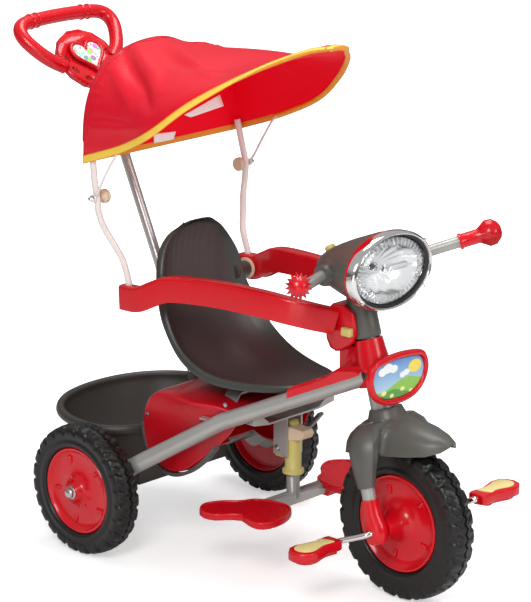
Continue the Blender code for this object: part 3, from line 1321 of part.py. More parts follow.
def footrest_mount():
    """Bracket under the tubes, the sleeve it clamps, and the cap over the sleeve."""
    inner = 0.0155
    outer = inner + STRAP_THICKNESS
    centre = tube_height(-0.256)
    under = centre.z - TUBE_RADIUS
    half = centre.x - 0.001
    outline = [(-half, under + 0.010), (-half, under - 0.004), (-0.060, under - 0.0095), (-outer, under - 0.0095),
               (-outer, 0.1800), (-inner, 0.1800), (-inner, under - 0.0125 + STRAP_THICKNESS)]
    outline += [(-x, z) for x, z in reversed(outline)]
    top = [(half - 0.016, under + 0.010), (0.058, under - 0.0065), (-0.058, under - 0.0065), (0.016 - half, under + 0.010)]
    outline = outline[:7] + outline[7:] + top
    place = Matrix(((1, 0, 0, 0), (0, 0, 1, -0.256), (0, 1, 0, 0), (0, 0, 0, 1)))
    made = piece("footrest_bracket", slab(outline, 0.030, place), "silver_paint")
    cut(made, *tube_cutters())
    bolt_y, bolt_z = -0.2500, 0.1910
    cut(made, rod((-0.03, bolt_y, bolt_z), (0.0, bolt_y, bolt_z), 0.0030 + GAP, 12))
    bore = POST_RADIUS + RUNNING
    sleeve = [(bore, SLEEVE_LOW_Z), (SLEEVE_FLANGE_RADIUS, SLEEVE_LOW_Z), (SLEEVE_FLANGE_RADIUS, SLEEVE_LOW_Z + 0.006),
              (SLEEVE_RADIUS, SLEEVE_LOW_Z + 0.009), (SLEEVE_RADIUS, SLEEVE_HIGH_Z), (bore, SLEEVE_HIGH_Z)]
    made = piece("footrest_sleeve", turned(sleeve, Matrix.Translation((0, POST_Y, 0)), 16), "pale_yellow")
    join(made, box((GAP - inner, -0.2600, 0.1760), (inner - GAP, -0.2425, 0.2060)))
    cut(made, rod((-0.02, bolt_y, bolt_z), (-0.0040, bolt_y, bolt_z), 0.0030 + GAP, 12))
    cut(made, rod((0, POST_Y, 0.12), (0, POST_Y, 0.25), bore, 16))
    cap = [(0.0, 0.2300), (0.0130, 0.2300), (0.0150, 0.2275), (0.0150, SLEEVE_HIGH_Z + GAP), (0.0, SLEEVE_HIGH_Z + GAP)]
    made = piece("footrest_cap", turned(cap, Matrix.Translation((0, POST_Y, 0)), 16), "cream")
    nose = [(-0.257, 0.2290), (-0.257, SLEEVE_HIGH_Z + 0.0015), (-0.284, SLEEVE_HIGH_Z + 0.0015), (-0.299, 0.2140),
            (-0.303, 0.2220), (-0.299, 0.2280), (-0.292, 0.2290)]
    upright = Matrix(((0, 0, 1, 0), (1, 0, 0, 0), (0, 1, 0, 0), (0, 0, 0, 1)))
    join(made, slab(nose, 0.0240, upright))
    cut(made, rod((0, POST_Y, 0.19), (0, POST_Y, 0.2215), bore, 15))
    cut(made, rod((0, POST_Y, 0.20), (0, POST_Y, 0.25), 0.0040 + RUNNING, 12))


def footrest_knob(carrier):
    profile = [(0.0, 0.2225), (0.0040, 0.2225), (0.0040, 0.2300 + GAP), (0.0080, 0.2300 + GAP), (0.0090, 0.2325),
               (0.0090, 0.2370), (0.0070, 0.2400), (0.0, 0.2405)]
    piece("footrest_knob", turned(profile, Matrix.Translation((0, POST_Y, 0)), 14), "pale_yellow", carrier)


# Bolts and the latch


def bolt(head_at, way, length):
    """A button-headed screw whose shank starts under its head and runs along a direction."""
    frame = along(head_at, way)
    shank = 0.0030
    profile = [(0.0, -0.0032), (0.0030, -0.0030), (0.0050, -0.0015), (0.0055, 0.0), (shank, 0.0), (shank, length),
               (0.0, length)]
    return turned(profile, frame, 12)


def footrest_bolt():
    """The screw through the bracket's cheek into the sleeve."""
    piece("footrest_bolt", bolt((-0.0185 - GAP, -0.2500, 0.1910), (1, 0, 0), 0.0140), "steel")


def latch_button(carrier):
    piece("latch_button", soften(latch_box(0.0), 0.002, 1), "pale_yellow", carrier)


# Assembly

steering = joint("steering_joint", None, STEER)
front = joint("front_wheel_joint", WHEEL_CENTRE)
bpy.context.view_layer.update()

head_tube()
for label, side in SIDES.items():
    frame_tube(label, side)
column_cover()
plaque()
rear_axle()
seat()
seat_bracket()
rear_fairing()
basket()
push_rod()
push_handle()
guard_yoke()
footrest_mount()
footrest_bolt()

front_wheel(front)
crank_axle(front)
fork(steering)
fender(steering)
neck_sleeve(steering)
lamp_housing(steering)
lamp_front(steering)
handlebar(steering)
lamp_button(joint("lamp_button_joint", None, button_frame()))
latch_button(joint("latch_button_joint", LATCH_CENTRE))
slide = joint("footrest_joint", (0, POST_Y, CROSSBAR_Z))
footrest(slide)
footrest_knob(joint("footrest_knob_joint", (0, POST_Y, 0.2300)))
shade = joint("canopy_joint", (0, PIVOT.y, PIVOT.z))
canopy_cloth(shade)
canopy_wire(shade)

for label, side in SIDES.items():
    fork_cover(label, side, steering)
    grip(label, side, steering)
    pedal(label, side, joint("pedal_joint_" + label, crank_pivot(side)))
    rear_wheel(label, side, joint("rear_wheel_joint_" + label, on_side((TRACK / 2, 0, REAR_RADIUS), side)))
    guard_arm(label, side)
    canopy_stay(label, side)
    canopy_bolt(label, side)
    canopy_knob(label, side, joint("canopy_knob_joint_" + label, on_side(PIVOT, side)))

for item in bpy.data.objects:
    if item.parent is None:
        item.location += TO_ORIGIN
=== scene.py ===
"""Dresses the child's tricycle: finishes, cloth, small fittings, studio light and camera."""

import json
import math

import bmesh
import bpy
from mathutils import Matrix, Vector

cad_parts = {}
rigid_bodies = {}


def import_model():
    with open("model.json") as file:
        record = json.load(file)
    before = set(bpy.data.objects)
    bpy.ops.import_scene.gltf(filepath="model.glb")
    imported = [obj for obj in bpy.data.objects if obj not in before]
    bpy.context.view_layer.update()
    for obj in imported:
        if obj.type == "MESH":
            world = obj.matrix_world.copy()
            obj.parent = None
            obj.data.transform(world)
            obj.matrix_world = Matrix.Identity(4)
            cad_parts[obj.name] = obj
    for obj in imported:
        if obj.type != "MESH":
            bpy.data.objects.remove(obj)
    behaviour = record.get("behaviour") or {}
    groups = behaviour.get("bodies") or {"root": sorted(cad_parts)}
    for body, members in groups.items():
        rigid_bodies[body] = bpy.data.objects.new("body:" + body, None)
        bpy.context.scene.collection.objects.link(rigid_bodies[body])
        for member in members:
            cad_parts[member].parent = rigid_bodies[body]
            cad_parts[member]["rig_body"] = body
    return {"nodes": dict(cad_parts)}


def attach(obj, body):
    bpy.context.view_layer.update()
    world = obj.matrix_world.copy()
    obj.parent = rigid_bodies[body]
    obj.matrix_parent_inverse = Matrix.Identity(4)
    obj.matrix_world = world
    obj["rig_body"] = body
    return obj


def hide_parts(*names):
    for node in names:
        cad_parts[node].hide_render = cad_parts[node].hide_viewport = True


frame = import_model()
NODES = frame["nodes"]
SLOTS = {name: node.material_slots[0].material.name for name, node in NODES.items()}
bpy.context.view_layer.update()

# Sizes and places that the tricycle's pieces share
ORIGIN_SHIFT = Vector((0.0, 0.17607, -0.00036))
SIDES = {"right": -1.0, "left": 1.0}
RAKE = math.radians(16.3)
FRONT_RADIUS, REAR_RADIUS, HALF_TRACK = 0.127, 0.110, 0.215
WHEEL_CENTRE = Vector((0.0, -0.514, FRONT_RADIUS)) + ORIGIN_SHIFT
STEER = Matrix.Translation(WHEEL_CENTRE) @ Matrix.Rotation(-RAKE, 4, "X")
PLAQUE_Y = -0.492

# Where the frame tubes leave the head tube, bend, and reach the rear
HEAD_Y = (STEER @ Vector((0, 0, (0.356 - FRONT_RADIUS) / math.cos(RAKE)))).y
TUBE_START_X, TUBE_START_Z = 0.0165, 0.3565
TUBE_BEND, TUBE_REAR = (0.112, -0.216, 0.250), (0.1765, -0.090, 0.166)

# The lamp's oval: its bezel, its glass, the groove between them, and how much wider it is than high
LAMP_CENTRE = Vector((0.0, -0.462, 0.530)) + ORIGIN_SHIFT
LAMP = Matrix.Translation(LAMP_CENTRE) @ Matrix.Rotation(math.pi / 2, 4, "X")
LAMP_OUTER, LAMP_INNER, LAMP_GROOVE, LAMP_STRETCH = 0.0630, 0.0540, 0.0580, 1.5

# The push handle's plate
HANDLE_CENTRE = (0.0, 0.212, 0.768)
HANDLE_TILT = math.radians(45.0)
HANDLE = Matrix.Translation(Vector(HANDLE_CENTRE) + ORIGIN_SHIFT) @ Matrix.Rotation(HANDLE_TILT, 4, "X")

# The canopy: how thick its cloth is, how wide its hem is, and where its rear edge lies
CLOTH_WALL, BINDING_WIDTH, CANOPY_REAR = 0.0016, 0.0115, 0.0335

# Rows of points in its back panel, metres of cloth for a radian round the arch, and how strong its folds are
BACK_ROWS, ARCH_REACH, FOLD_STRENGTH = 16, 0.19, 1.45

# Its stays, its wire, where the wire goes into the hem, and the bolt that the wire's eyes turn on
STAY_RADIUS, WIRE_RADIUS, WIRE_ENTERS = 0.0055, 0.0021, -0.046
CANOPY_BOLT = (0.1715, 0.0078, 0.594)

# How near points are when they are joined: in the solids, in rows of points and in finished pieces
SOLID_WELD, ROW_WELD, PIECE_WELD = 0.00002, 0.00001, 0.000008

# Where the camera stands, and which ways it looks
CAMERA_SPOT = Vector((-3.36896, -3.28459, 1.76444))
CAMERA_TURN, CAMERA_RISE, CAMERA_LENS = -0.8025, 0.2781, 203.39
PICTURE_WIDTH, PICTURE_HEIGHT, SENSOR_WIDTH = 531.0, 602.0, 36.0
CAMERA_BACK = Vector((math.sin(CAMERA_TURN) * math.cos(CAMERA_RISE),
                      -math.cos(CAMERA_TURN) * math.cos(CAMERA_RISE), math.sin(CAMERA_RISE)))
CAMERA_RIGHT = Vector((math.cos(CAMERA_TURN), math.sin(CAMERA_TURN), 0.0))
CAMERA_UP = CAMERA_BACK.cross(CAMERA_RIGHT)
CAMERA_REACH = CAMERA_LENS / SENSOR_WIDTH * PICTURE_WIDTH

for name in ("Cube", "Light", "Camera"):
    spare = bpy.data.objects.get(name)
    if spare:
        bpy.data.objects.remove(spare, do_unlink=True)


def at(x, y, z):
    """A point measured from the ground under the rear axle, in the frame of the model."""
    return Vector((x, y, z)) + ORIGIN_SHIFT


# Shader groups
VECTOR, COLOUR, NUMBER = "NodeSocketVector", "NodeSocketColor", "NodeSocketFloat"
SURFACE = [("Colour", COLOUR), ("Roughness", NUMBER), ("Height", NUMBER)]


def start_group(name, takes, gives):
    """An empty group with its sockets: the tree, what it is given, and what it gives out."""
    tree = bpy.data.node_groups.new(name, "ShaderNodeTree")
    for label, kind, value in takes:
        socket = tree.interface.new_socket(label, in_out="INPUT", socket_type=kind)
        if value is not None:
            socket.default_value = value
    for label, kind in gives:
        tree.interface.new_socket(label, in_out="OUTPUT", socket_type=kind)
    return tree, tree.nodes.new("NodeGroupInput").outputs, tree.nodes.new("NodeGroupOutput").inputs


def put(tree, kind, settings=None, **inputs):
    """Adds a shader node: inputs are values or sockets, by name or as i0, i1 and so on."""
    node = tree.nodes.new(kind)
    for key, value in (settings or {}).items():
        setattr(node, key, value)
    for key, value in inputs.items():
        numbered = key[0] == "i" and key[1:].isdigit()
        socket = node.inputs[int(key[1:]) if numbered else key.replace("_", " ")]
        if isinstance(value, bpy.types.NodeSocket):
            tree.links.new(value, socket)
        else:
            socket.default_value = value
    return node


def reckon(tree, a, b, operation="ADD"):
    """A sum, or another operation, on two numbers."""
    return put(tree, "ShaderNodeMath", {"operation": operation}, i0=a, i1=b).outputs[0]


def times(tree, a, b):
    return reckon(tree, a, b, "MULTIPLY")


def less(tree, a, b):
    return reckon(tree, a, b, "SUBTRACT")


def sine(tree, value):
    return put(tree, "ShaderNodeMath", {"operation": "SINE"}, i0=value).outputs[0]


def noise(tree, place, scale, detail, **more):
    node = put(tree, "ShaderNodeTexNoise", None, Vector=place, Scale=scale, Detail=detail, **more)
    return node.outputs[0]


def blend(tree, share, under, over):
    """Two colours mixed."""
    return put(tree, "ShaderNodeMix", {"data_type": "RGBA"}, i0=share, i6=under, i7=over).outputs[2]


def grey(tree, tone):
    return put(tree, "ShaderNodeCombineColor", None, i0=tone, i1=tone, i2=tone).outputs[0]


def spread(tree, value, low, high, to_low, to_high):
    """A value moved from the span between low and high to another span."""
    ends = {"From_Min": low, "From_Max": high, "To_Min": to_low, "To_Max": to_high}
    return put(tree, "ShaderNodeMapRange", None, Value=value, **ends).outputs[0]


def skin_group():
    """Colour drift, fine grain and light scuffs of a moulded or painted surface."""
    takes = [
        ("Place", VECTOR, None), ("Colour", COLOUR, (0.5, 0.5, 0.5, 1.0)),
        ("Scuff Colour", COLOUR, (0.8, 0.8, 0.8, 1.0)), ("Drift", NUMBER, 0.1),
        ("Drift Size", NUMBER, 12.0), ("Grain Size", NUMBER, 900.0), ("Scuffs", NUMBER, 0.1),
        ("Roughness", NUMBER, 0.4), ("Unevenness", NUMBER, 0.1),
    ]
    tree, given, out = start_group("worn skin", takes, SURFACE)
    place = given["Place"]
    cloud = noise(tree, place, given["Drift Size"], 4.0)
    grain = noise(tree, place, given["Grain Size"], 2.0)
    long_way = put(tree, "ShaderNodeMapping", None, Vector=place, Scale=(90.0, 320.0, 60.0)).outputs[0]
    streak = noise(tree, long_way, 1.0, 5.0, Roughness=0.7)
    where = spread(tree, cloud, 0.45, 0.70, 0.0, 1.0)
    mask = times(tree, spread(tree, streak, 0.60, 0.72, 0.0, 1.0), where)
    mask = times(tree, mask, given["Scuffs"])
    half = less(tree, cloud, 0.5)
    level = reckon(tree, times(tree, half, given["Drift"]), 1.0)
    drifted = put(tree, "ShaderNodeVectorMath", {"operation": "SCALE"}, i0=given["Colour"], Scale=level)
    tree.links.new(blend(tree, mask, drifted.outputs[0], given["Scuff Colour"]), out["Colour"])
    rough = reckon(tree, times(tree, half, given["Unevenness"]), given["Roughness"])
    tree.links.new(reckon(tree, rough, times(tree, mask, 0.25)), out["Roughness"])
    tree.links.new(reckon(tree, grain, times(tree, streak, 0.35)), out["Height"])
    return tree


def weave_group():
    """Over-and-under threads on a surface laid out in metres, with a soft crumple under them."""
    takes = [
        ("Place", VECTOR, None), ("Colour", COLOUR, (0.6, 0.02, 0.04, 1.0)),
        ("Thread Colour", COLOUR, (0.8, 0.1, 0.1, 1.0)), ("Threads", NUMBER, 1100.0),
        ("Crumple Size", NUMBER, 30.0), ("Roughness", NUMBER, 0.6),
    ]
    tree, given, out = start_group("plain weave", takes, SURFACE)
    parts = put(tree, "ShaderNodeSeparateXYZ", None, Vector=given["Place"]).outputs
    turns = times(tree, given["Threads"], math.pi)
    waves = [sine(tree, times(tree, parts[axis], turns)) for axis in (0, 1)]
    thread = times(tree, *waves)
    crumple = noise(tree, given["Place"], given["Crumple Size"], 4.0, Distortion=0.6)
    share = spread(tree, reckon(tree, times(tree, thread, 0.5), crumple), 0.0, 1.4, 0.0, 1.0)
    tree.links.new(blend(tree, share, given["Colour"], given["Thread Colour"]), out["Colour"])
    tree.links.new(reckon(tree, given["Roughness"], times(tree, thread, 0.06)), out["Roughness"])
    tree.links.new(reckon(tree, times(tree, thread, 0.05), crumple), out["Height"])
    return tree


def hills_group():
    """A plain landscape print: sky, a sun, two clouds, two hills and flowers, in shares of the card."""
    tree, given, out = start_group("landscape print", [("Place", VECTOR, None)], [("Colour", COLOUR)])
    parts = put(tree, "ShaderNodeSeparateXYZ", None, Vector=given["Place"])
    across, up = parts.outputs[0], parts.outputs[2]

    def disc(x, z, radius):
        dx, dz = less(tree, across, x), less(tree, up, z)
        square = reckon(tree, times(tree, dx, dx), times(tree, dz, dz))
        return spread(tree, square, (radius * 0.88) ** 2, radius**2, 1.0, 0.0)

    def hill(height, swing, turns, start):
        wave = sine(tree, reckon(tree, times(tree, across, turns), start))
        crest = reckon(tree, times(tree, wave, swing), height)
        return spread(tree, less(tree, crest, up), 0.0, 0.03, 0.0, 1.0)

    sky = spread(tree, up, -0.5, 0.9, 1.0, 0.0)
    colour = blend(tree, sky, (0.025, 0.190, 0.560, 1.0), (0.480, 0.700, 0.820, 1.0))
    clouds = [(-0.60, 0.42, 0.17), (-0.40, 0.50, 0.20), (-0.18, 0.42, 0.16), (0.16, 0.10, 0.12),
              (0.30, 0.15, 0.13)]
    flowers = [(-0.55, -0.42, 0.10), (-0.25, -0.60, 0.08), (0.15, -0.45, 0.09), (0.48, -0.62, 0.08)]
    layers = [(disc(0.62, 0.30, 0.26), (0.930, 0.720, 0.080, 1.0))]
    layers += [(disc(*cloud), (0.900, 0.920, 0.920, 1.0)) for cloud in clouds]
    layers += [(hill(-0.18, 0.16, 3.2, 0.6), (0.260, 0.560, 0.060, 1.0))]
    layers += [(hill(-0.48, 0.13, 4.3, 2.6), (0.070, 0.330, 0.040, 1.0))]
    layers += [(disc(*flower), (0.930, 0.860, 0.300, 1.0)) for flower in flowers]
    for mask, tint in layers:
        colour = blend(tree, mask, colour, tint)
    tree.links.new(colour, out["Colour"])
    return tree


def confetti_group():
    """A pale print of loose pastel spots."""
    takes = [("Place", VECTOR, None), ("Scale", NUMBER, 85.0)]
    tree, given, out = start_group("pastel spots", takes, [("Colour", COLOUR)])
    colour = (0.820, 0.830, 0.760, 1.0)
    for size, share in ((1.0, 0.42), (1.8, 0.30)):
        scale = times(tree, given["Scale"], size)
        cells = put(tree, "ShaderNodeTexVoronoi", None, Vector=given["Place"], Scale=scale).outputs
        near = spread(tree, cells["Distance"], share, share + 0.05, 0.75, 0.0)
        tint = put(tree, "ShaderNodeHueSaturation", None, Color=cells["Color"], Saturation=1.5, Value=1.25)
        colour = blend(tree, near, colour, tint.outputs[0])
    tree.links.new(colour, out["Colour"])
    return tree


SKIN = skin_group()
HILLS = hills_group()
CONFETTI = confetti_group()
WEAVE = weave_group()


# Materials


def blank(name):
    """A new material: itself, its tree, its shader and the places that its nodes read."""
    made = bpy.data.materials.new(name)
    made.use_nodes = True
    tree = made.node_tree
    return made, tree, tree.nodes["Principled BSDF"], tree.nodes.new("ShaderNodeTexCoord").outputs


def use(tree, group, **inputs):
    """Adds a node that holds a group."""
    return put(tree, "ShaderNodeGroup", {"node_tree": group}, **inputs)


def adjust(shader, **values):
    for key, value in values.items():
        shader.inputs[key.replace("_", " ")].default_value = value


def dress(tree, shader, group, bump, depth):
    """Gives the shader a group's colour, roughness and relief."""
    tree.links.new(group.outputs["Colour"], shader.inputs["Base Color"])
    tree.links.new(group.outputs["Roughness"], shader.inputs["Roughness"])
    height = group.outputs["Height"]
    relief = put(tree, "ShaderNodeBump", None, Height=height, Strength=bump, Distance=depth)
    tree.links.new(relief.outputs[0], shader.inputs["Normal"])


def skinned(name, colour, roughness, metallic=0.0, scuff=None, drift=0.25, grain=1100.0, scuffs=0.15,
            unevenness=0.12, bump=0.12, coat=0.0, clear=0.0, specular=0.5):
    """A hard surface: plastic, paint, metal or rubber."""
    made, tree, shader, place = blank(name)
    scuff = scuff or tuple(min(1.0, c * 1.5 + 0.05) for c in colour)
    skin = use(tree, SKIN, Place=place["Object"], Colour=(*colour, 1.0), Scuff_Colour=(*scuff, 1.0),
               Drift=drift, Drift_Size=14.0, Grain_Size=grain, Scuffs=scuffs, Roughness=roughness,
               Unevenness=unevenness)
    dress(tree, shader, skin, bump, 0.0004)
    adjust(shader, Metallic=metallic, Specular_IOR_Level=specular, Coat_Weight=coat, Coat_Roughness=0.08)
    if clear:
        adjust(shader, Transmission_Weight=clear, IOR=1.45)
    return made


def printed(name, group, middle, sizes):
    """A glossy printed card, its print laid out from a middle point."""
    made, tree, shader, place = blank(name)
    moved = put(tree, "ShaderNodeMapping", {"vector_type": "TEXTURE"}, Vector=place["Object"],
                Location=middle, Scale=sizes)
    print_colour = use(tree, group, Place=moved.outputs[0]).outputs["Colour"]
    skin = use(tree, SKIN, Place=place["Object"], Colour=print_colour, Scuff_Colour=(0.8, 0.8, 0.8, 1.0),
               Drift=0.08, Drift_Size=20.0, Grain_Size=1500.0, Scuffs=0.10, Roughness=0.28, Unevenness=0.1)
    dress(tree, shader, skin, 0.08, 0.0003)
    adjust(shader, Coat_Weight=0.5)
    return made


def woven(name, colour, thread, roughness, threads=1100.0, crumple=28.0, bump=0.35, coat=0.0,
          coat_roughness=0.4, specular=0.5, through=0.0):
    """Cloth, read from the piece's own layout in metres; through is a painted glow: the cloth's own colour
    given off as emission, standing in for the light that comes through it.
    """
    made, tree, shader, place = blank(name)
    weave = use(tree, WEAVE, Place=place["UV"], Colour=(*colour, 1.0), Thread_Colour=(*thread, 1.0),
                Threads=threads, Crumple_Size=crumple, Roughness=roughness)
    dress(tree, shader, weave, bump, 0.002)
    adjust(shader, Coat_Weight=coat, Coat_Roughness=coat_roughness, Specular_IOR_Level=specular)
    # Painted light: the cloth glows with its own colour where light would come through it.
    if through:
        tree.links.new(weave.outputs["Colour"], shader.inputs["Emission Color"])
        adjust(shader, Emission_Strength=through)
    return made


FINISH = {
    "red_gloss": skinned("red moulded plastic", (0.640, 0.0022, 0.0100), 0.25, coat=0.22, drift=0.16,
                         scuffs=0.06, specular=0.35),
    "red_matte": skinned("red fairing plastic", (0.520, 0.0025, 0.0110), 0.32, coat=0.18, scuffs=0.12,
                         specular=0.35),
    "silver_paint": skinned("silver paint", (0.400, 0.395, 0.375), 0.36, metallic=0.35, grain=2600.0,
                            coat=0.2),
    "steel": skinned("zinc plated steel", (0.520, 0.520, 0.525), 0.32, metallic=1.0, grain=1800.0),
    "chrome": skinned("chrome", (0.780, 0.770, 0.760), 0.09, metallic=1.0, drift=0.10, scuffs=0.05,
                      bump=0.02, unevenness=0.05),
    "charcoal": skinned("seat plastic", (0.062, 0.045, 0.043), 0.46, grain=700.0, bump=0.22, scuffs=0.18),
    # The seat's rolled edge: a greener copy of the seat plastic, a painted sheen where light catches the
    # edge.
    "seat_rim_sheen": skinned("seat plastic, painted edge sheen", (0.048, 0.050, 0.044), 0.38, grain=700.0, bump=0.18,
                        scuffs=0.12),
    "lamp_rib": skinned("frosted lens rib", (0.780, 0.790, 0.800), 0.20, coat=0.5, drift=0.05, scuffs=0.02),
    "dark_gap": skinned("dark gap", (0.015, 0.015, 0.016), 0.50),
    "wheel_disc": skinned("grey inner disc", (0.330, 0.325, 0.310), 0.45, drift=0.15),
    "dark_grey": skinned("dark grey plastic", (0.095, 0.090, 0.080), 0.38, bump=0.10),
    "basket_black": skinned("basket plastic", (0.040, 0.034, 0.029), 0.44, grain=800.0, bump=0.2),
    "pale_yellow": skinned("pale yellow plastic", (0.640, 0.545, 0.170), 0.42, drift=0.3),
    "cream": skinned("cream plastic", (0.760, 0.580, 0.400), 0.38),
    "white_paint": skinned("white lacquer", (0.820, 0.745, 0.715), 0.30, drift=0.12),
    "rubber_black": skinned("tyre rubber", (0.009, 0.0080, 0.0075), 0.36, grain=500.0, bump=0.20,
                            scuffs=0.16, scuff=(0.04, 0.036, 0.034), unevenness=0.25, specular=0.40),
    "picture": printed("landscape card", HILLS, at(0.0, PLAQUE_Y, 0.359), (0.062, 0.062, 0.042)),
    "spots": printed("pastel spotted card", CONFETTI, at(*HANDLE_CENTRE), (1.0, 1.0, 1.0)),
    "pad_yellow": skinned("pedal pad", (0.830, 0.700, 0.290), 0.45, drift=0.15),
    "rod_steel": skinned("push rod tube", (0.560, 0.520, 0.505), 0.30, metallic=0.75, grain=700.0,
                         bump=0.04),
    "mirror": skinned("reflector", (0.850, 0.850, 0.850), 0.12, metallic=1.0, bump=0.05),
    "clear": skinned("clear plastic", (0.950, 0.960, 0.965), 0.03, drift=0.02, scuffs=0.0, bump=0.03,
                     unevenness=0.02, clear=1.0),
    "red_cloth": woven("canopy nylon", (0.700, 0.0026, 0.0180), (0.780, 0.006, 0.028), 0.38, coat=0.16,
                       coat_roughness=0.30, specular=0.22),
    # The cloth's inner side: less shine, and a painted glow for the light that comes through the nylon.
    "lining_painted_glow": woven("canopy nylon, painted glow", (0.720, 0.0015, 0.0120), (0.800, 0.003, 0.022), 0.60,
                    bump=0.2, specular=0.08, through=0.22),
    "binding": woven("yellow binding", (0.900, 0.560, 0.045), (0.960, 0.700, 0.110), 0.60, threads=1500.0,
                     crumple=60.0),
    # The binding's shaded side: a darker orange copy of the yellow binding, painted shade.
    "binding_painted_shade": woven("binding in painted shade", (0.820, 0.290, 0.012), (0.900, 0.380, 0.030), 0.60,
                            threads=1500.0, crumple=60.0),
    "orange_edge": skinned("orange tape edge", (0.780, 0.250, 0.012), 0.60, grain=2500.0, bump=0.3),
    "red_edge": skinned("red thread", (0.400, 0.0050, 0.0160), 0.60, grain=2500.0, bump=0.3),
    # The labels glow a little with painted light, as if lit through the cloth.
    "label": woven("white label tape", (0.800, 0.780, 0.750), (0.860, 0.840, 0.810), 0.70, threads=1800.0,
                   crumple=50.0, through=0.18),
    "footrest": skinned("red rest plastic", (0.600, 0.0025, 0.0110), 0.32, scuffs=0.12, specular=0.35),
}


# Pieces


def linked(name, data):
    """A new object in the scene."""
    made = bpy.data.objects.new(name, data)
    bpy.context.scene.collection.objects.link(made)
    return made


def add_piece(name, bm, finish, body, crease=32.0, wall=0.0, inside=None):
    """Makes a piece of the scene from a bmesh in place, riding on one body."""
    bmesh.ops.remove_doubles(bm, verts=bm.verts, dist=PIECE_WELD)
    bmesh.ops.recalc_face_normals(bm, faces=bm.faces)
    mesh = bpy.data.meshes.new(name)
    bm.to_mesh(mesh)
    bm.free()
    mesh.shade_smooth()
    mesh.set_sharp_from_angle(angle=math.radians(crease))
    made = linked(name, mesh)
    made.data.materials.append(FINISH[finish])
    if wall:
        step = made.modifiers.new("wall", "SOLIDIFY")
        step.thickness = wall
        step.offset = 0.0
        if inside:
            made.data.materials.append(FINISH[inside])
            step.material_offset = 1
    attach(made, body)
    return made


def smooth(points, steps=4, closed=False):
    """Points along a curve through the given ones."""
    points = [Vector(p) for p in points]
    if closed:
        padded = [points[-1]] + points + points[:2]
    else:
        padded = [2 * points[0] - points[1]] + points + [2 * points[-1] - points[-2]]
    found = []
    for a, b, c, d in zip(padded, padded[1:], padded[2:], padded[3:]):
        for i in range(steps):
            t = i / steps
            bent = (2 * a - 5 * b + 4 * c - d) * t**2
            found.append(0.5 * (2 * b + (c - a) * t + bent + (3 * b - a - 3 * c + d) * t**3))
    return found if closed else found + [points[-1]]


def frames_along(path, up=(0, 0, 1), closed=False, sizes=None):
    """A frame at each point of a path: X across it, Y upward and Z along it."""
    path = [Vector(p) for p in path]
    found = []
    for i, point in enumerate(path):
        before = path[i - 1] if closed or i else point
        after = path[(i + 1) % len(path)] if closed or i + 1 < len(path) else point
        tangent = (after - before).normalized()
        across = tangent.cross(Vector(up)).normalized()
        upward = across.cross(tangent)
        wide, tall = sizes[i] if sizes else (1.0, 1.0)
        turn = Matrix((across * wide, upward * tall, tangent)).transposed().to_4x4()
        turn.translation = point
        found.append(turn)
    return found


def drawn_out(bm, edges):
    """Extrudes a chain of edges in place: the new points, and the new edges between them."""
    drawn = bmesh.ops.extrude_edge_only(bm, edges=edges)["geom"]
    verts = [g for g in drawn if isinstance(g, bmesh.types.BMVert)]
    fresh = set(verts)
    touching = [e for v in verts for e in v.link_edges if e.other_vert(v) in fresh]
    # A dictionary keeps the edges in order, so each run gives the same mesh.
    return verts, list(dict.fromkeys(touching))


def skin(frames, section, closed=False):
    """Draws a closed section out from frame to frame, and caps its ends or joins them."""
    bm = bmesh.new()
    ring = [bm.verts.new(frames[0] @ Vector((a, b, 0.0))) for a, b in section]
    first = [bm.edges.new(pair) for pair in zip(ring, ring[1:] + ring[:1])]
    edges = first
    for here, ahead in zip(frames, frames[1:]):
        verts, edges = drawn_out(bm, edges)
        bmesh.ops.transform(bm, matrix=ahead @ here.inverted(), verts=verts)
    if closed:
        bmesh.ops.bridge_loops(bm, edges=first + edges)
    else:
        bmesh.ops.edgeloop_fill(bm, edges=first)
        bmesh.ops.edgeloop_fill(bm, edges=edges)
    return bm


def round_section(radius, sides):
    turns = [2 * math.pi * i / sides for i in range(sides)]
    return [(radius * math.cos(t), radius * math.sin(t)) for t in turns]


def tube(path, radius, sides=20, up=(0, 0, 1), sizes=None):
    """A round bar along a path; sizes scale its width and height from point to point."""
    return skin(frames_along(path, up, sizes=sizes), round_section(radius, sides))


def bead(path, radius, sides=8):
    """A thin cord round a closed path."""
    return skin(frames_along(path, closed=True), round_section(radius, sides), closed=True)


def round_box(width, height, radius):
    """A rectangle with round corners, each of four steps."""
    points = []
    for sx, sy, start in ((1, 1, 0), (-1, 1, 90), (-1, -1, 180), (1, -1, 270)):
        for i in range(5):
            t = math.radians(start + 22.5 * i)
            x, y = sx * (width / 2 - radius), sy * (height / 2 - radius)
            points.append((x + radius * math.cos(t), y + radius * math.sin(t)))
    return points


def spun(profile, place, steps=64, stretch=1.0):
    """A closed outline of (radius, height) pairs spun about the place's Z axis."""
    bm = bmesh.new()
    ring = [bm.verts.new((radius, 0.0, height)) for radius, height in profile]
    edges = [bm.edges.new((a, b)) for a, b in zip(ring, ring[1:] + ring[:1]) if max(a.co.x, b.co.x) > 1e-6]
    bmesh.ops.spin(bm, geom=ring + edges, cent=(0, 0, 0), axis=(0, 0, 1), angle=2 * math.pi, steps=steps,
                   use_merge=True)
    bmesh.ops.remove_doubles(bm, verts=bm.verts, dist=1e-6)
    bmesh.ops.scale(bm, vec=(stretch, 1.0, 1.0), verts=bm.verts)
    bmesh.ops.transform(bm, matrix=place, verts=bm.verts)
    return bm


def slab(outline, thickness, place):
    """A plate: an outline in the place's XY plane, thickened on both sides."""
    bm = bmesh.new()
    ring = [bm.verts.new((x, y, -thickness / 2)) for x, y in outline]
    face = bm.faces.new(ring)
    risen = bmesh.ops.extrude_face_region(bm, geom=[face])["geom"]
    tops = [v for v in risen if isinstance(v, bmesh.types.BMVert)]
    bmesh.ops.translate(bm, vec=(0, 0, thickness), verts=tops)
    bmesh.ops.transform(bm, matrix=place, verts=bm.verts)
    return bm


def flat_bar(start, end, half):
    """The outline of a bar along X."""
    return [(start, -half), (end, -half), (end, half), (start, half)]


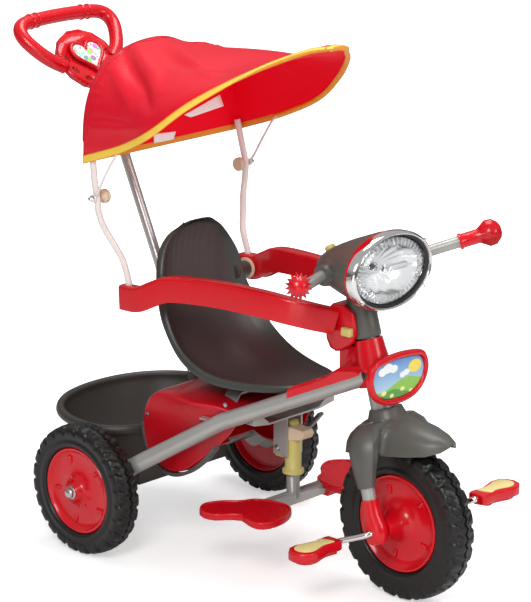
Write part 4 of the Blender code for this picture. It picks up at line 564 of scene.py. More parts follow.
def block(low, high):
    """A box between two corners."""
    bm = bmesh.new()
    low, high = Vector(low), Vector(high)
    bmesh.ops.create_cube(bm, size=1.0)
    bmesh.ops.scale(bm, vec=high - low, verts=bm.verts)
    bmesh.ops.translate(bm, vec=(low + high) / 2, verts=bm.verts)
    return bm


def dome(radii, place, steps=16):
    """A rounded bump with radii along the place's X, Y and Z axes."""
    bm = bmesh.new()
    bmesh.ops.create_uvsphere(bm, u_segments=steps, v_segments=steps // 2, radius=1.0)
    bmesh.ops.scale(bm, vec=radii, verts=bm.verts)
    bmesh.ops.transform(bm, matrix=place, verts=bm.verts)
    return bm


def soften(bm, width, segments=3, least=30.0):
    """Rounds the edges sharper than an angle."""
    sharp = [e for e in bm.edges if len(e.link_faces) == 2 and e.calc_face_angle() > math.radians(least)]
    bmesh.ops.bevel(bm, geom=sharp, offset=width, segments=segments, profile=0.5, affect="EDGES",
                    material=-1, clamp_overlap=True)
    return bm


def together(*shapes):
    """Several shapes as one mesh."""
    whole = bmesh.new()
    for bm in shapes:
        held = bpy.data.meshes.new("held")
        bm.to_mesh(held)
        bm.free()
        whole.from_mesh(held)
        bpy.data.meshes.remove(held)
    return whole


def along(point, direction):
    """The frame whose Z axis points along a direction from a point."""
    turn = Vector(direction).to_track_quat("Z", "Y").to_matrix().to_4x4()
    return Matrix.Translation(Vector(point)) @ turn


def on_side(point, side):
    """A point of the left side, or its mirror image on the right."""
    return Vector((point[0] * side, point[1], point[2]))


def side_frame(centre, side):
    """A frame whose Z axis points outwards on one side."""
    return Matrix.Translation(Vector(centre)) @ Matrix.Rotation(side * math.pi / 2, 4, "Y")


def seen_at(u, v, axis, level):
    """The spot at a level of one axis that the camera sees at a place in the picture."""
    aside, above = (u - PICTURE_WIDTH / 2) / CAMERA_REACH, (PICTURE_HEIGHT / 2 - v) / CAMERA_REACH
    away = -CAMERA_BACK + CAMERA_RIGHT * aside + CAMERA_UP * above
    return CAMERA_SPOT + away * ((level - CAMERA_SPOT[axis]) / away[axis])


def stands_for(piece, *names):
    """Lets a finer piece take the place of CAD nodes, by hiding them."""
    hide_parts(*names)
    return piece


# Nodes that a finer piece further down stands for
REBUILT = {
    "canopy", "front_tyre", "rear_tyre_left", "rear_tyre_right", "front_hub", "rear_hub_left",
    "rear_hub_right", "seat", "lamp_bezel", "lamp_lens", "lamp_reflector", "lamp_bulb", "frame_tube_left",
    "frame_tube_right", "push_rod", "canopy_rod_left", "canopy_rod_right", "canopy_wire", "guard_arm_left",
    "guard_arm_right", "axle_nut_left", "axle_nut_right", "neck_sleeve", "basket", "rear_fairing",
    "push_handle", "plaque_frame", "plaque_panel",
}


def refined_nodes():
    """Gives every rigid CAD node its finish, and lets a smooth copy stand in for each node that is not in
    REBUILT.
    """
    for name, node in NODES.items():
        slot = SLOTS[name]
        finish = "footrest" if name in ("footrest_left", "footrest_right") else slot
        node.material_slots[0].material = FINISH[finish]
        if name in REBUILT:
            continue
        bm = bmesh.new()
        bm.from_mesh(node.data)
        bmesh.ops.remove_doubles(bm, verts=bm.verts, dist=SOLID_WELD)
        nearly_flat = math.radians(0.3)
        flat = [e for e in bm.edges if len(e.link_faces) == 2 and e.calc_face_angle() < nearly_flat]
        bmesh.ops.dissolve_edges(bm, edges=flat, use_verts=False, use_face_split=False)
        made = add_piece(name + "_skin", bm, finish, node["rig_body"], 34.0)
        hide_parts(name)


refined_nodes()


# Plaque


def plaque():
    """The shield-shaped frame with a rounded rim, and its card."""
    shape = [(-0.60, 0.98), (-0.88, 0.90), (-1.0, 0.66), (-0.97, 0.44), (-0.84, 0.24), (-0.62, 0.09),
             (-0.34, 0.01), (0.0, -0.01)]
    shape += [(-x, z) for x, z in reversed(shape[:-1])] + [(0.0, 1.024)]
    outlines = []
    for inset in (0.0, 0.0055, 0.0112):
        half, low, high = 0.070 - inset, 0.318 + inset, 0.400 - inset
        outline = [Vector((half * x, low + (high - low) * z, 0)) for x, z in shape]
        outlines.append(smooth(outline, 5, closed=True))
    face = Matrix.Translation(at(0, PLAQUE_Y, 0)) @ Matrix.Rotation(math.pi / 2, 4, "X")
    path = [face @ (p + Vector((0, 0, 0.0010))) for p in outlines[1]]
    rim = skin(frames_along(path, up=(0, 1, 0), closed=True), round_box(0.0100, 0.0120, 0.0046), True)
    back = slab([(p.x, p.y) for p in outlines[1]], 0.0040, face @ Matrix.Translation((0, 0, -0.0028)))
    arm = soften(block(at(-0.018, -0.4870, 0.352), at(0.018, -0.4700, 0.376)), 0.002)
    surround = add_piece("plaque_surround", together(rim, back, arm), "red_gloss", "frame", 50.0)
    stands_for(surround, "plaque_frame")
    card = slab([(p.x, p.y) for p in outlines[2]], 0.0030, face @ Matrix.Translation((0, 0, 0.0012)))
    stands_for(add_piece("plaque_card", card, "picture", "frame", 40.0), "plaque_panel")


# Wheels


def step_up(value, low, high):
    """Nought below low, one above high, and a smooth rise between them."""
    t = max(0.0, min(1.0, (value - low) / (high - low)))
    return t * t * (3 - 2 * t)


def tyre(name, centre, radius, width, rim, body):
    """A moulded tyre: a rolled bead, a flat sidewall, lobed shoulders and a zigzag middle groove."""
    half = width / 2
    blocks, steps_each = 24, 14
    notch_depth, notch_spread, cut_depth = 0.0032, 0.0011, 0.0022
    outline = [
        (rim + 0.0006, -0.50 * half), (rim + 0.0003, -0.78 * half), (rim + 0.0022, -0.92 * half),
        (rim + 0.0058, -1.00 * half), (rim + 0.0098, -0.985 * half), (rim + 0.0125, -0.93 * half),
        (rim + 0.0170, -0.935 * half), (radius - 0.0180, -0.975 * half), (radius - 0.0150, -1.00 * half),
        (radius - 0.0105, -0.99 * half), (radius - 0.0065, -0.93 * half), (radius - 0.0035, -0.83 * half),
        (radius - 0.0020, -0.70 * half), (radius - 0.0010, -0.52 * half), (radius - 0.0004, -0.34 * half),
        (radius, -0.20 * half), (radius, -0.115 * half), (radius - 0.0030, -0.075 * half),
    ]
    outline += [(r, -x) for r, x in reversed(outline)]
    turn = Matrix.Translation(centre) @ Matrix.Rotation(math.pi / 2, 4, "Y")
    bm = spun(outline, Matrix.Identity(4), blocks * steps_each)
    for vert in bm.verts:
        x = vert.co.z
        r = math.hypot(vert.co.x, vert.co.y)
        angle = math.atan2(vert.co.y, vert.co.x) / (2 * math.pi)
        side = 0.0 if x < 0 else 0.5
        part = (angle * blocks + side) % 1.0
        near = min(part, 1.0 - part)
        share = abs(x) / half
        tread = step_up(r, radius - 0.0175, radius - 0.0130)
        notch = (1.0 - step_up(near, 0.08, 0.18)) * step_up(share, 0.34, 0.56) * tread
        fine = (angle * blocks * 2 + side + 0.25 + 0.8 * share) % 1.0
        cut = (1.0 - step_up(min(fine, 1.0 - fine), 0.10, 0.24)) * step_up(share, 0.16, 0.24)
        cut *= (1.0 - step_up(share, 0.74, 0.86)) * tread
        middle = (angle * blocks * 2) % 1.0
        sway = 0.13 * half * (4.0 * abs(middle - 0.5) - 1.0) * (1.0 - step_up(share, 0.20, 0.50))
        lower = notch_depth * notch + cut_depth * cut
        if r > 1e-6:
            vert.co.x *= (r - lower) / r
            vert.co.y *= (r - lower) / r
        vert.co.z += (sway if r > radius - 0.004 else 0.0) - math.copysign(notch_spread * notch, x)
    bmesh.ops.transform(bm, matrix=turn, verts=bm.verts)
    stands_for(add_piece(name + "_moulding", bm, "rubber_black", body, 40.0), name)


def hub(name, centre, profile, side, body, nub_radius, nub_height):
    """A dished hub with five short raised nubs and a ribbed boss."""
    place = side_frame(centre, side)
    nubs = []
    rings = (
        (5, 0.35, nub_radius, nub_height, (0.0085, 0.0042, 0.0052), 16),
        (10, 0.0, 0.0235, nub_height + 0.0035, (0.0070, 0.0011, 0.0030), 8),
    )
    for count, start, radius, height, radii, steps in rings:
        for i in range(count):
            t = 2 * math.pi * (i + start) / count
            spot = Matrix.Translation((radius * math.cos(t), radius * math.sin(t), height))
            nubs.append(dome(radii, place @ spot @ Matrix.Rotation(t, 4, "Z"), steps))
    bm = together(spun(profile, place, 80), *nubs)
    stands_for(add_piece(name + "_moulding", bm, "red_gloss", body, 38.0), name)


def rear_centre(side):
    """The middle of one rear wheel."""
    return at(HALF_TRACK * side, 0.0, REAR_RADIUS)


def wheels():
    """The tyres, the hubs and the caps on the rear axle's ends."""
    tyre("front_tyre", WHEEL_CENTRE, FRONT_RADIUS, 0.050, 0.080, "front_wheel")
    front = [(0.0053, 0.0536), (0.0140, 0.0536), (0.0155, 0.0525), (0.0180, 0.0400), (0.0205, 0.0300),
             (0.0255, 0.0210), (0.0330, 0.0158), (0.0450, 0.0128), (0.0580, 0.0120), (0.0670, 0.0138),
             (0.0725, 0.0185), (0.0755, 0.0215), (0.0785, 0.0212), (0.0800, 0.0185)]
    front += [(r, -x) for r, x in reversed(front)]
    hub("front_hub", WHEEL_CENTRE, front, -1.0, "front_wheel", 0.0560, 0.0118)
    for label, side in SIDES.items():
        body = label + "_rear_wheel"
        centre = rear_centre(side)
        tyre("rear_tyre_" + label, centre, REAR_RADIUS, 0.048, 0.073, body)
        profile = [(0.0054, 0.0316), (0.0130, 0.0316), (0.0142, 0.0305), (0.0165, 0.0230), (0.0225, 0.0170),
                   (0.0350, 0.0130), (0.0560, 0.0118), (0.0640, 0.0142), (0.0680, 0.0195), (0.0712, 0.0203),
                   (0.0730, 0.0180), (0.0730, -0.0150), (0.0715, -0.0170), (0.0690, -0.0160),
                   (0.0660, -0.0060), (0.0560, -0.0030), (0.0180, -0.0030), (0.0130, -0.0200),
                   (0.0120, -0.0312), (0.0054, -0.0312)]
        hub("rear_hub_" + label, centre, profile, side, body, 0.0530, 0.0112)
        cap = [(0.0, 0.0420), (0.0040, 0.0416), (0.0070, 0.0400), (0.0084, 0.0380), (0.0086, 0.0345),
               (0.0100, 0.0340), (0.0112, 0.0328), (0.0112, 0.0320), (0.0054, 0.0320), (0.0054, 0.0393),
               (0.0, 0.0393)]
        bm = spun(cap, side_frame(centre, side), 32)
        stands_for(add_piece("axle_cap_" + label, bm, "steel", "frame", 30.0), "axle_nut_" + label)


wheels()
plaque()


# Frame and push rod


def straight_parts():
    """The push rod, the neck's sleeve, and both frame tubes, clear of the steerer and the rear hubs."""
    steerer_space, axle_space, hub_face = 0.0172, 0.024, 0.1832
    start = Vector((TUBE_START_X, HEAD_Y, TUBE_START_Z + ORIGIN_SHIFT.z))
    bend, rear, axle = at(*TUBE_BEND), at(*TUBE_REAR), at(0.180, 0.0, 0.110)
    run = (axle - rear).normalized()
    start += (bend - start).normalized() * 0.006
    outer = [start, start.lerp(bend, 0.45), start.lerp(bend, 0.86), bend, bend.lerp(rear, 0.16),
             bend.lerp(rear, 0.88), rear, rear.lerp(axle, 0.12), rear.lerp(axle, 0.45),
             rear.lerp(axle, 0.75), axle, axle + run * 0.014, axle + run * 0.022]
    wide = [(1, 1)] * 7 + [(0.98, 1.0), (0.80, 1.15), (0.42, 1.40), (0.25, 1.571), (0.25, 1.257),
                           (0.225, 0.471)]
    to_head = STEER.inverted()
    for label, side in SIDES.items():
        path = smooth([on_side(p, side) for p in outer], 4)
        sizes = [(v.x, v.y) for v in smooth([Vector((a, b, 0)) for a, b in wide], 4)]
        bm = tube(path, 0.014, 28, sizes=sizes)
        for vert in bm.verts:
            spot = to_head @ vert.co
            reach = math.hypot(spot.x, spot.y)
            if 1e-6 < reach < steerer_space:
                spot.x *= steerer_space / reach
                spot.y *= steerer_space / reach
                vert.co = STEER @ spot
            near_axle = math.hypot(vert.co.y - axle.y, vert.co.z - axle.z) < axle_space
            if near_axle and abs(vert.co.x) > hub_face:
                vert.co.x = hub_face * side
        stands_for(add_piece("frame_pipe_" + label, bm, "silver_paint", "frame"), "frame_tube_" + label)
    foot_height = 0.220
    foot, lean = Vector((0.0, -0.060, foot_height)), Vector((0.0, 0.460, 1.0))
    low, high = foot + ORIGIN_SHIFT, foot + lean * (0.729 - foot_height) + ORIGIN_SHIFT
    stands_for(add_piece("push_pipe", tube([low, high], 0.0085, 28), "rod_steel", "frame"), "push_rod")
    low = 0.290 + 0.0020 + 0.0062
    sleeve = [(0.0123, low), (0.0205, low), (0.0220, low + 0.003), (0.0218, low + 0.020), (0.0214, 0.350),
              (0.0123, 0.350)]
    stands_for(add_piece("neck_moulding", spun(sleeve, STEER, 40), "dark_grey", "steering"), "neck_sleeve")


straight_parts()


# Seat


def seat_rows():
    """The seat's upper skin, nose to back top, with finer steps than the solid's."""
    stations = (
        (0.014, (-0.3360, 0.3220), (-0.3370, 0.3210)), (0.040, (-0.3190, 0.3200), (-0.3220, 0.3150)),
        (0.060, (-0.2900, 0.3170), (-0.2900, 0.3050)), (0.079, (-0.2450, 0.3140), (-0.2400, 0.2950)),
        (0.095, (-0.1950, 0.3160), (-0.1850, 0.2895)), (0.103, (-0.1530, 0.3270), (-0.1330, 0.2940)),
        (0.105, (-0.1150, 0.3500), (-0.0870, 0.3150)), (0.101, (-0.0860, 0.3850), (-0.0520, 0.3500)),
        (0.093, (-0.0660, 0.4250), (-0.0320, 0.4000)), (0.087, (-0.0570, 0.4650), (-0.0260, 0.4500)),
        (0.072, (-0.0480, 0.4980), (-0.0290, 0.4930)), (0.050, (-0.0470, 0.5220), (-0.0390, 0.5230)),
        (0.022, (-0.0510, 0.5345), (-0.0500, 0.5370)),
    )
    halves = smooth([Vector((half, 0, 0)) for half, rim, middle in stations], 4)
    rims = smooth([Vector((0, *rim)) for half, rim, middle in stations], 4)
    middles = smooth([Vector((0, *middle)) for half, rim, middle in stations], 4)
    columns, rib_height, rib_pitch = 36, 0.0007, 0.0135
    rows = []
    for half, rim, middle in zip(halves, rims, middles):
        row = []
        for i in range(columns + 1):
            t = 2 * i / columns - 1
            lift = abs(t) ** 2.6
            place = middle.lerp(rim, lift)
            x = half.x * math.copysign(abs(t) ** 0.85, t)
            rib = 0.0
            if place.z > 0.40:
                rib = rib_height * math.cos(x * 2 * math.pi / rib_pitch)
                rib *= step_up(place.z, 0.40, 0.44)
                rib *= 1 - lift
            dimple = 0.0016 * math.exp(-(((x + 0.010) / 0.007) ** 2) - ((place.y + 0.252) / 0.007) ** 2)
            row.append(at(x, place.y + rib, place.z - dimple))
        rows.append(row)
    return rows


def face_upwards(bm):
    """Turns an open sheet's faces to the upper side."""
    bmesh.ops.recalc_face_normals(bm, faces=bm.faces)
    if sum(f.normal.z for f in bm.faces) < 0:
        bmesh.ops.reverse_faces(bm, faces=bm.faces)


def seat():
    """The bucket with its rolled edge, and a peg between it and each guard arm, with a cream ring at its
    outer end that paints the highlight on its rim.
    """
    rows = seat_rows()
    bm = bmesh.new()
    bmesh.ops.create_grid(bm, x_segments=len(rows[0]) - 1, y_segments=len(rows) - 1, size=1.0)
    bm.verts.ensure_lookup_table()
    for i, vert in enumerate(bm.verts):
        vert.co = rows[i // len(rows[0])][i % len(rows[0])]
    face_upwards(bm)
    edges = [e for e in bm.edges if e.is_boundary]
    for share_out, share_down in ((0.45, 0.10), (0.35, 0.30), (0.20, 0.35), (0.0, 0.25)):
        lip, edges = drawn_out(bm, edges)
        for vert in lip:
            aside = 0.006 * step_up(abs(vert.co.x), 0.004, 0.03)
            out = Vector((aside if vert.co.x > 0 else -aside, 0.0, 0.0))
            rear = step_up(vert.co.z, 0.34, 0.40)
            down = Vector((0, 0.002, -0.013)).lerp(Vector((0, 0.011, -0.004)), rear)
            vert.co += out * share_out + down * share_down
    face_upwards(bm)
    wide = len(rows[0]) - 1
    bm.faces.index_update()
    # The faces along the border, on the rolled edge, take the painted sheen.
    border = 3
    last_full_row = wide * (len(rows) - 1 - border)
    for face in bm.faces:
        column = face.index % wide
        edge = face.index >= last_full_row or column < border or column >= wide - border
        face.material_index = 1 if edge else 0
    bmesh.ops.solidify(bm, geom=bm.faces, thickness=0.0036)
    made = add_piece("seat_moulding", bm, "charcoal", "frame", 60.0)
    made.data.materials.append(FINISH["seat_rim_sheen"])
    stands_for(made, "seat")
    for label, side in SIDES.items():
        start, end = on_side(at(0.082, -0.050, 0.430), side), on_side(at(0.1196, -0.046, 0.430), side)
        bm = soften(tube([start, end], 0.0130, 24), 0.001)
        peg = add_piece("seat_peg_" + label, bm, "charcoal", "frame")
        way = (end - start).normalized()
        # The cream ring paints the bright highlight on the rim of the peg's end.
        ring = [(0.0130, -0.0030), (0.0172, -0.0026), (0.0180, -0.0010), (0.0172, 0.0004), (0.0130, 0.0008)]
        bm = spun(ring, along(end - way * 0.0008, way), 32)
        highlight_ring = add_piece("seat_peg_highlight_ring_" + label, bm, "cream", "frame")


seat()


# Lamp


def lamp_case():
    """The bezel with its clips, the red band behind it, a dark ring of painted shade in the groove inside it
    and the ring of ribs.
    """
    outer, inner, groove = LAMP_OUTER, LAMP_INNER, LAMP_GROOVE
    bezel = [(groove, 0.0050), (outer - 0.0008, 0.0050), (outer + 0.0001, 0.0064), (outer, 0.0150),
             (outer - 0.0012, 0.0185), (outer - 0.0028, 0.0210), (outer - 0.0042, 0.0220),
             (outer - 0.0054, 0.0212), (outer - 0.0060, 0.0195), (outer - 0.0062, 0.0170),
             (outer - 0.0062, 0.0125), (groove, 0.0125)]
    ring = spun(bezel, LAMP, 96, LAMP_STRETCH)
    band = [(groove, 0.0003), (outer - 0.0016, 0.0003), (outer - 0.0008, 0.0016), (outer - 0.0008, 0.0050),
            (groove, 0.0050)]
    band = add_piece("lamp_red_band", spun(band, LAMP, 96, LAMP_STRETCH), "red_gloss", "steering", 40.0)
    # A dark ring in the groove between the bezel and the glass: painted shade in the gap.
    gap = [(inner - 0.0012, 0.0130), (outer - 0.0060, 0.0130), (outer - 0.0060, 0.0178),
           (outer - 0.0070, 0.0180), (inner + 0.0004, 0.0170)]
    gap_shade = add_piece("lamp_gap_shade", spun(gap, LAMP, 96, LAMP_STRETCH), "dark_gap", "steering", 40.0)
    ribs = []
    rib_count = 46
    for i in range(rib_count):
        t = 2 * math.pi * i / rib_count
        ends = [LAMP @ Vector((reach * LAMP_STRETCH * math.cos(t), reach * math.sin(t), depth))
                for reach, depth in ((0.0512, 0.0118), (0.0405, 0.0158))]
        ribs.append(tube(ends, 0.0015, 6))
    add_piece("lamp_ribs", together(*ribs), "lamp_rib", "steering", 40.0)
    clips = []
    for turn in (38, 142, 218, 322):
        t = math.radians(turn)
        x, y = 0.0600 * LAMP_STRETCH * math.cos(t), 0.0600 * math.sin(t)
        spot = LAMP @ Matrix.Translation((x, y, 0.0200)) @ Matrix.Rotation(math.atan2(y, x), 4, "Z")
        clips.append(soften(slab(flat_bar(-0.003, 0.0038, 0.003), 0.004, spot), 0.0008, 1))
    stands_for(add_piece("lamp_rim", together(ring, *clips), "chrome", "steering", 30.0), "lamp_bezel")


def lamp_inside():
    """The glass, the rippled reflector, the bulb and the bar in front of it."""
    rim = LAMP_GROOVE - 0.0005
    lens = [(rim, 0.0088), (rim, 0.0122), (LAMP_INNER - 0.0006, 0.0122), (LAMP_INNER - 0.0012, 0.0150),
            (0.0500, 0.0178), (0.0440, 0.0205), (0.0395, 0.0220), (0.0360, 0.0228), (0.0300, 0.0238),
            (0.0200, 0.0248), (0.0100, 0.0254), (0.0, 0.0255), (0.0, 0.0240), (0.0245, 0.0230),
            (0.0360, 0.0213), (0.0430, 0.0193), (0.0500, 0.0164), (0.0520, 0.0130), (0.0520, 0.0088)]
    glass = add_piece("lamp_glass", spun(lens, LAMP, 120, LAMP_STRETCH), "clear", "steering", 60.0)
    stands_for(glass, "lamp_lens")
    bowl = [(rim, 0.0003), (rim, 0.0085), (0.0530, 0.0085), (0.0490, 0.0010), (0.0430, -0.0095),
            (0.0350, -0.0165), (0.0270, -0.0205), (0.0120, -0.0235), (0.0062, -0.0240), (0.0062, -0.0258),
            (0.0120, -0.0255), (0.0275, -0.0226), (0.0445, -0.0122), (0.0515, 0.0003)]
    dish = spun(bowl, Matrix.Identity(4), 120)
    for vert in dish.verts:
        r = math.hypot(vert.co.x, vert.co.y)
        t = math.atan2(vert.co.y, vert.co.x)
        if 0.020 < r < 0.050 and vert.co.z > -0.0215:
            vert.co.z += 0.0002 * math.cos(20 * t)
    bmesh.ops.scale(dish, vec=(LAMP_STRETCH, 1.0, 1.0), verts=dish.verts)
    bmesh.ops.transform(dish, matrix=LAMP, verts=dish.verts)
    stands_for(add_piece("lamp_bowl", dish, "mirror", "steering", 50.0), "lamp_reflector")
    bulb = [(0.0, -0.030), (0.0058, -0.030), (0.0058, -0.020), (0.0045, -0.0165), (0.0060, -0.0135),
            (0.0064, -0.0105), (0.0056, -0.0065), (0.0040, -0.0040), (0.0, -0.0025)]
    stands_for(add_piece("lamp_bulb_glass", spun(bulb, LAMP, 24), "clear", "steering", 40.0), "lamp_bulb")
    ends = [LAMP_CENTRE + Vector((x, -0.0110, 0.004)) for x in (-0.004, 0.036)]
    bar = soften(tube(ends, 0.0058, 20), 0.0015, 2, 50.0)
    add_piece("lamp_bulb_shield", bar, "mirror", "steering", 40.0)


lamp_case()
lamp_inside()


# Guard, stays and wire


def guard_section():
    """An inverted channel with rounded upper corners."""
    w, h, r, t = 0.012, 0.0205, 0.0050, 0.003
    fillet = 0.003
    corner = [(w - r + r * math.cos(a), h - r + r * math.sin(a)) for a in (0.0, 0.4, 0.79, 1.18, 1.57)]
    outer = [(w, -h)] + corner + [(-x, y) for x, y in reversed(corner)] + [(-w, -h)]
    inner = [(-w + t, -h), (-w + t, h - t - fillet), (-w + t + fillet, h - t)]
    inner += [(w - t - fillet, h - t), (w - t, h - t - fillet), (w - t, -h)]
    return outer + inner


def guard():
    """Both guard arms: a channel with a plug in each end."""
    points = (
        (0.1390, -0.0180, 0.4275), (0.1385, -0.0550, 0.4300), (0.1330, -0.0850, 0.4440),
        (0.1265, -0.1200, 0.4570), (0.1130, -0.2050, 0.4630), (0.1030, -0.2900, 0.4630),
        (0.0870, -0.3380, 0.4570), (0.0600, -0.3680, 0.4470), (0.0303, -0.3838, 0.4370),
    )
    for label, side in SIDES.items():
        path = smooth([on_side(at(*p), side) for p in points], 6)
        channel = skin(frames_along(path), guard_section())
        ends = (path[:3], path[-3:])
        plugs = [skin(frames_along(end), round_box(0.0225, 0.0395, 0.004)) for end in ends]
        arm = add_piece("guard_rail_" + label, together(channel, *plugs), "red_gloss", "frame", 38.0)
        stands_for(arm, "guard_arm_" + label)


def stays():
    """Both bent stays of the canopy."""
    points = ((0.1385, -0.0290, 0.4475), (0.1385, -0.0290, 0.4530), (0.1395, -0.0170, 0.4870),
              (0.1500, -0.0070, 0.5150), (0.1610, 0.0030, 0.5420), (0.1690, 0.0070, 0.5680), CANOPY_BOLT,
              (0.1705, 0.0150, 0.6250), (0.1665, 0.0225, 0.6680))
    for label, side in SIDES.items():
        path = smooth([on_side(at(*p), side) for p in points], 6)
        bm = soften(tube(path, STAY_RADIUS, 20, up=(0, 1, 0)), 0.001, 2, 60.0)
        stands_for(add_piece("canopy_stay_" + label, bm, "white_paint", "frame"), "canopy_rod_" + label)


# Canopy


def canopy_stations(steps):
    """Sections as (y, half width, hem height, crown height, arch power), rear to front."""
    coarse = [
        (CANOPY_REAR, 0.1760, 0.6490, 0.8330, 0.60), (-0.0620, 0.1815, 0.6830, 0.8260, 0.72),
        (-0.1400, 0.1930, 0.7210, 0.8250, 0.84), (-0.2030, 0.1780, 0.7700, 0.8240, 0.92),
        (-0.2600, 0.1370, 0.8140, 0.8330, 0.92), (-0.2980, 0.0930, 0.8420, 0.8500, 0.85),
        (-0.3380, 0.0490, 0.8630, 0.8670, 0.80), (-0.3660, 0.0170, 0.8680, 0.8700, 0.70),
    ]
    sizes = smooth([Vector((y, w, power)) for y, w, hem, crown, power in coarse], steps)
    heights = smooth([Vector((hem, crown, 0.0)) for y, w, hem, crown, power in coarse], steps)
    return [(a.x, a.y, b.x, b.y, a.z) for a, b in zip(sizes, heights)]


def slump(x, y):
    """How far the cloth hangs lower on its left: at the rear shoulder and round the peak."""
    near_rear = math.exp(-(((y - CANOPY_REAR) / 0.090) ** 2))
    shoulder = 0.0150 * math.exp(-(((x - 0.062) / 0.040) ** 2)) * near_rear
    shoulder += 0.0060 * math.exp(-(((x - 0.115) / 0.035) ** 2)) * near_rear
    peak = 0.0100 * max(0.0, min(1.0, x / 0.050)) * math.exp(-(((y + 0.350) / 0.045) ** 2))
    return shoulder + peak


def fold_lines():
    """Folds as (height, width, points), each point an angle round the arch and a distance forwards."""
    lines = [
        (-0.0048, 0.0110, ((-0.36, -0.01), (-0.52, 0.024), (-0.74, 0.073), (-0.94, 0.123), (-1.22, 0.165))),
        (0.0050, 0.0150, ((-0.22, -0.01), (-0.36, 0.024), (-0.52, 0.065), (-0.70, 0.118), (-0.96, 0.160))),
        (-0.0036, 0.0130, ((-0.12, 0.020), (-0.26, 0.075), (-0.37, 0.117), (-0.45, 0.175), (-0.40, 0.225))),
        (0.0034, 0.0140, ((-0.08, 0.060), (-0.26, 0.130), (-0.48, 0.205), (-0.62, 0.240))),
        (0.0030, 0.0120, ((-0.62, -0.01), (-0.82, 0.040), (-1.10, 0.095), (-1.32, 0.120))),
        (0.0022, 0.0060, ((-1.42, 0.020), (-1.40, 0.085), (-1.44, 0.150))),
        (-0.0018, 0.0050, ((-1.34, 0.000), (-1.33, 0.060), (-1.37, 0.110))),
        (-0.0034, 0.0130, ((0.30, -0.01), (0.50, 0.050), (0.86, 0.110), (1.20, 0.160))),
        (-0.0020, 0.0150, ((0.10, -0.01), (0.32, 0.060), (0.60, 0.125), (0.92, 0.190))),
        (0.0026, 0.0110, ((0.62, -0.01), (0.90, 0.045), (1.25, 0.100))),
    ]
    puckers = 9
    for i in range(puckers):
        side = 0.62 + 0.105 * i
        lines.append((-0.0011, 0.0032, ((-side, -0.004), (-side - 0.012, 0.018 + 0.008 * (i % 3)))))
        lines.append((-0.0010, 0.0034, ((side, -0.004), (side + 0.016, 0.016 + 0.007 * ((i + 1) % 3)))))
    return lines


def fold_height(lines, angle, forward):
    """How far the folds push the cloth out at one spot."""
    spot = Vector((angle * ARCH_REACH, forward))
    total = 0.0
    for height, width, points in lines:
        points = [Vector((a * ARCH_REACH, b)) for a, b in points]
        if min((spot - p).length for p in points) > 0.09:
            continue
        best, share = 1.0, 0.0
        for i, (a, b) in enumerate(zip(points, points[1:])):
            t = max(0.0, min(1.0, (spot - a).dot(b - a) / (b - a).length_squared))
            away = (spot - a.lerp(b, t)).length
            if away < best:
                best, share = away, (i + t) / (len(points) - 1)
        fade = math.sin(math.pi * (0.12 + 0.82 * share)) ** 0.7
        total += FOLD_STRENGTH * height * math.exp(-((best / width) ** 2)) * fade
    return total


def canopy_rows():
    """The cloth as rows of points: up the back panel, then forwards over the arch to the peak."""
    columns, steps = 96, 10
    stations = canopy_stations(steps)
    rear = stations[0]
    arch, angles = [], [math.pi * (i / columns - 0.5) for i in range(columns + 1)]
    for y, half, hem, crown, power in stations:
        row = []
        for angle in angles:
            x = half * math.copysign(abs(math.sin(angle)) ** 0.80, angle)
            z = hem + (crown - hem) * max(0.0, math.cos(angle)) ** power
            row.append(at(x, y, z - 0.0006 - slump(x, y)))
        arch.append(row)
    lines = fold_lines()
    folded = []
    for r, row in enumerate(arch):
        line = []
        forward = rear[0] - stations[r][0]
        for c, point in enumerate(row):
            ahead = arch[min(r + 1, len(arch) - 1)][c] - arch[max(r - 1, 0)][c]
            aside = row[min(c + 1, columns)] - row[max(c - 1, 0)]
            normal = ahead.cross(aside).normalized()
            fade = min(1.0, math.cos(angles[c]) * 6.0) * step_up(forward, 0.0, 0.012)
            line.append(point + normal * fold_height(lines, angles[c], forward) * fade)
        folded.append(line)
    back = []
    for step in range(1, BACK_ROWS + 1):
        share = 1 - step / BACK_ROWS
        line = []
        for p in folded[0]:
            low = rear[2] + ORIGIN_SHIFT.z
            sag = 0.0024 * math.sin(math.pi * share) * (0.4 + math.cos(24.0 * p.x + 3.0 * share) * 0.6)
            line.append(Vector((p.x, p.y - sag, low + (p.z - low) * share)))
        back.append(line)
    return back[::-1] + folded


def laid_out(grid):
    """Flat distances along and across a grid of points."""
    layout = []
    down = 0.0
    for r, row in enumerate(grid):
        if r:
            middle = len(row) // 2
            down += (row[middle] - grid[r - 1][middle]).length
        across = [0.0]
        for a, b in zip(row, row[1:]):
            across.append(across[-1] + (b - a).length)
        half = across[-1] / 2
        layout.append([(value - half, down) for value in across])
    return layout


def grid_mesh(rows):
    """A sheet through rows of points, with its layout in metres."""
    wide = len(rows[0])
    bm = bmesh.new()
    bmesh.ops.create_grid(bm, x_segments=wide - 1, y_segments=len(rows) - 1, size=1.0)
    bm.verts.ensure_lookup_table()
    bm.verts.index_update()
    layer = bm.loops.layers.uv.new("layout")
    layout = laid_out(rows)
    for i, vert in enumerate(bm.verts):
        vert.co = rows[i // wide][i % wide]
    for face in bm.faces:
        for loop in face.loops:
            i = loop.vert.index
            loop[layer].uv = layout[i // wide][i % wide]
    return bm


def walk(start, points, distance):
    """The point at a distance along a chain of points."""
    last, left = start, distance
    for p in points:
        step = (p - last).length
        if step >= left:
            return last.lerp(p, left / step)
        left -= step
        last = p
    return last


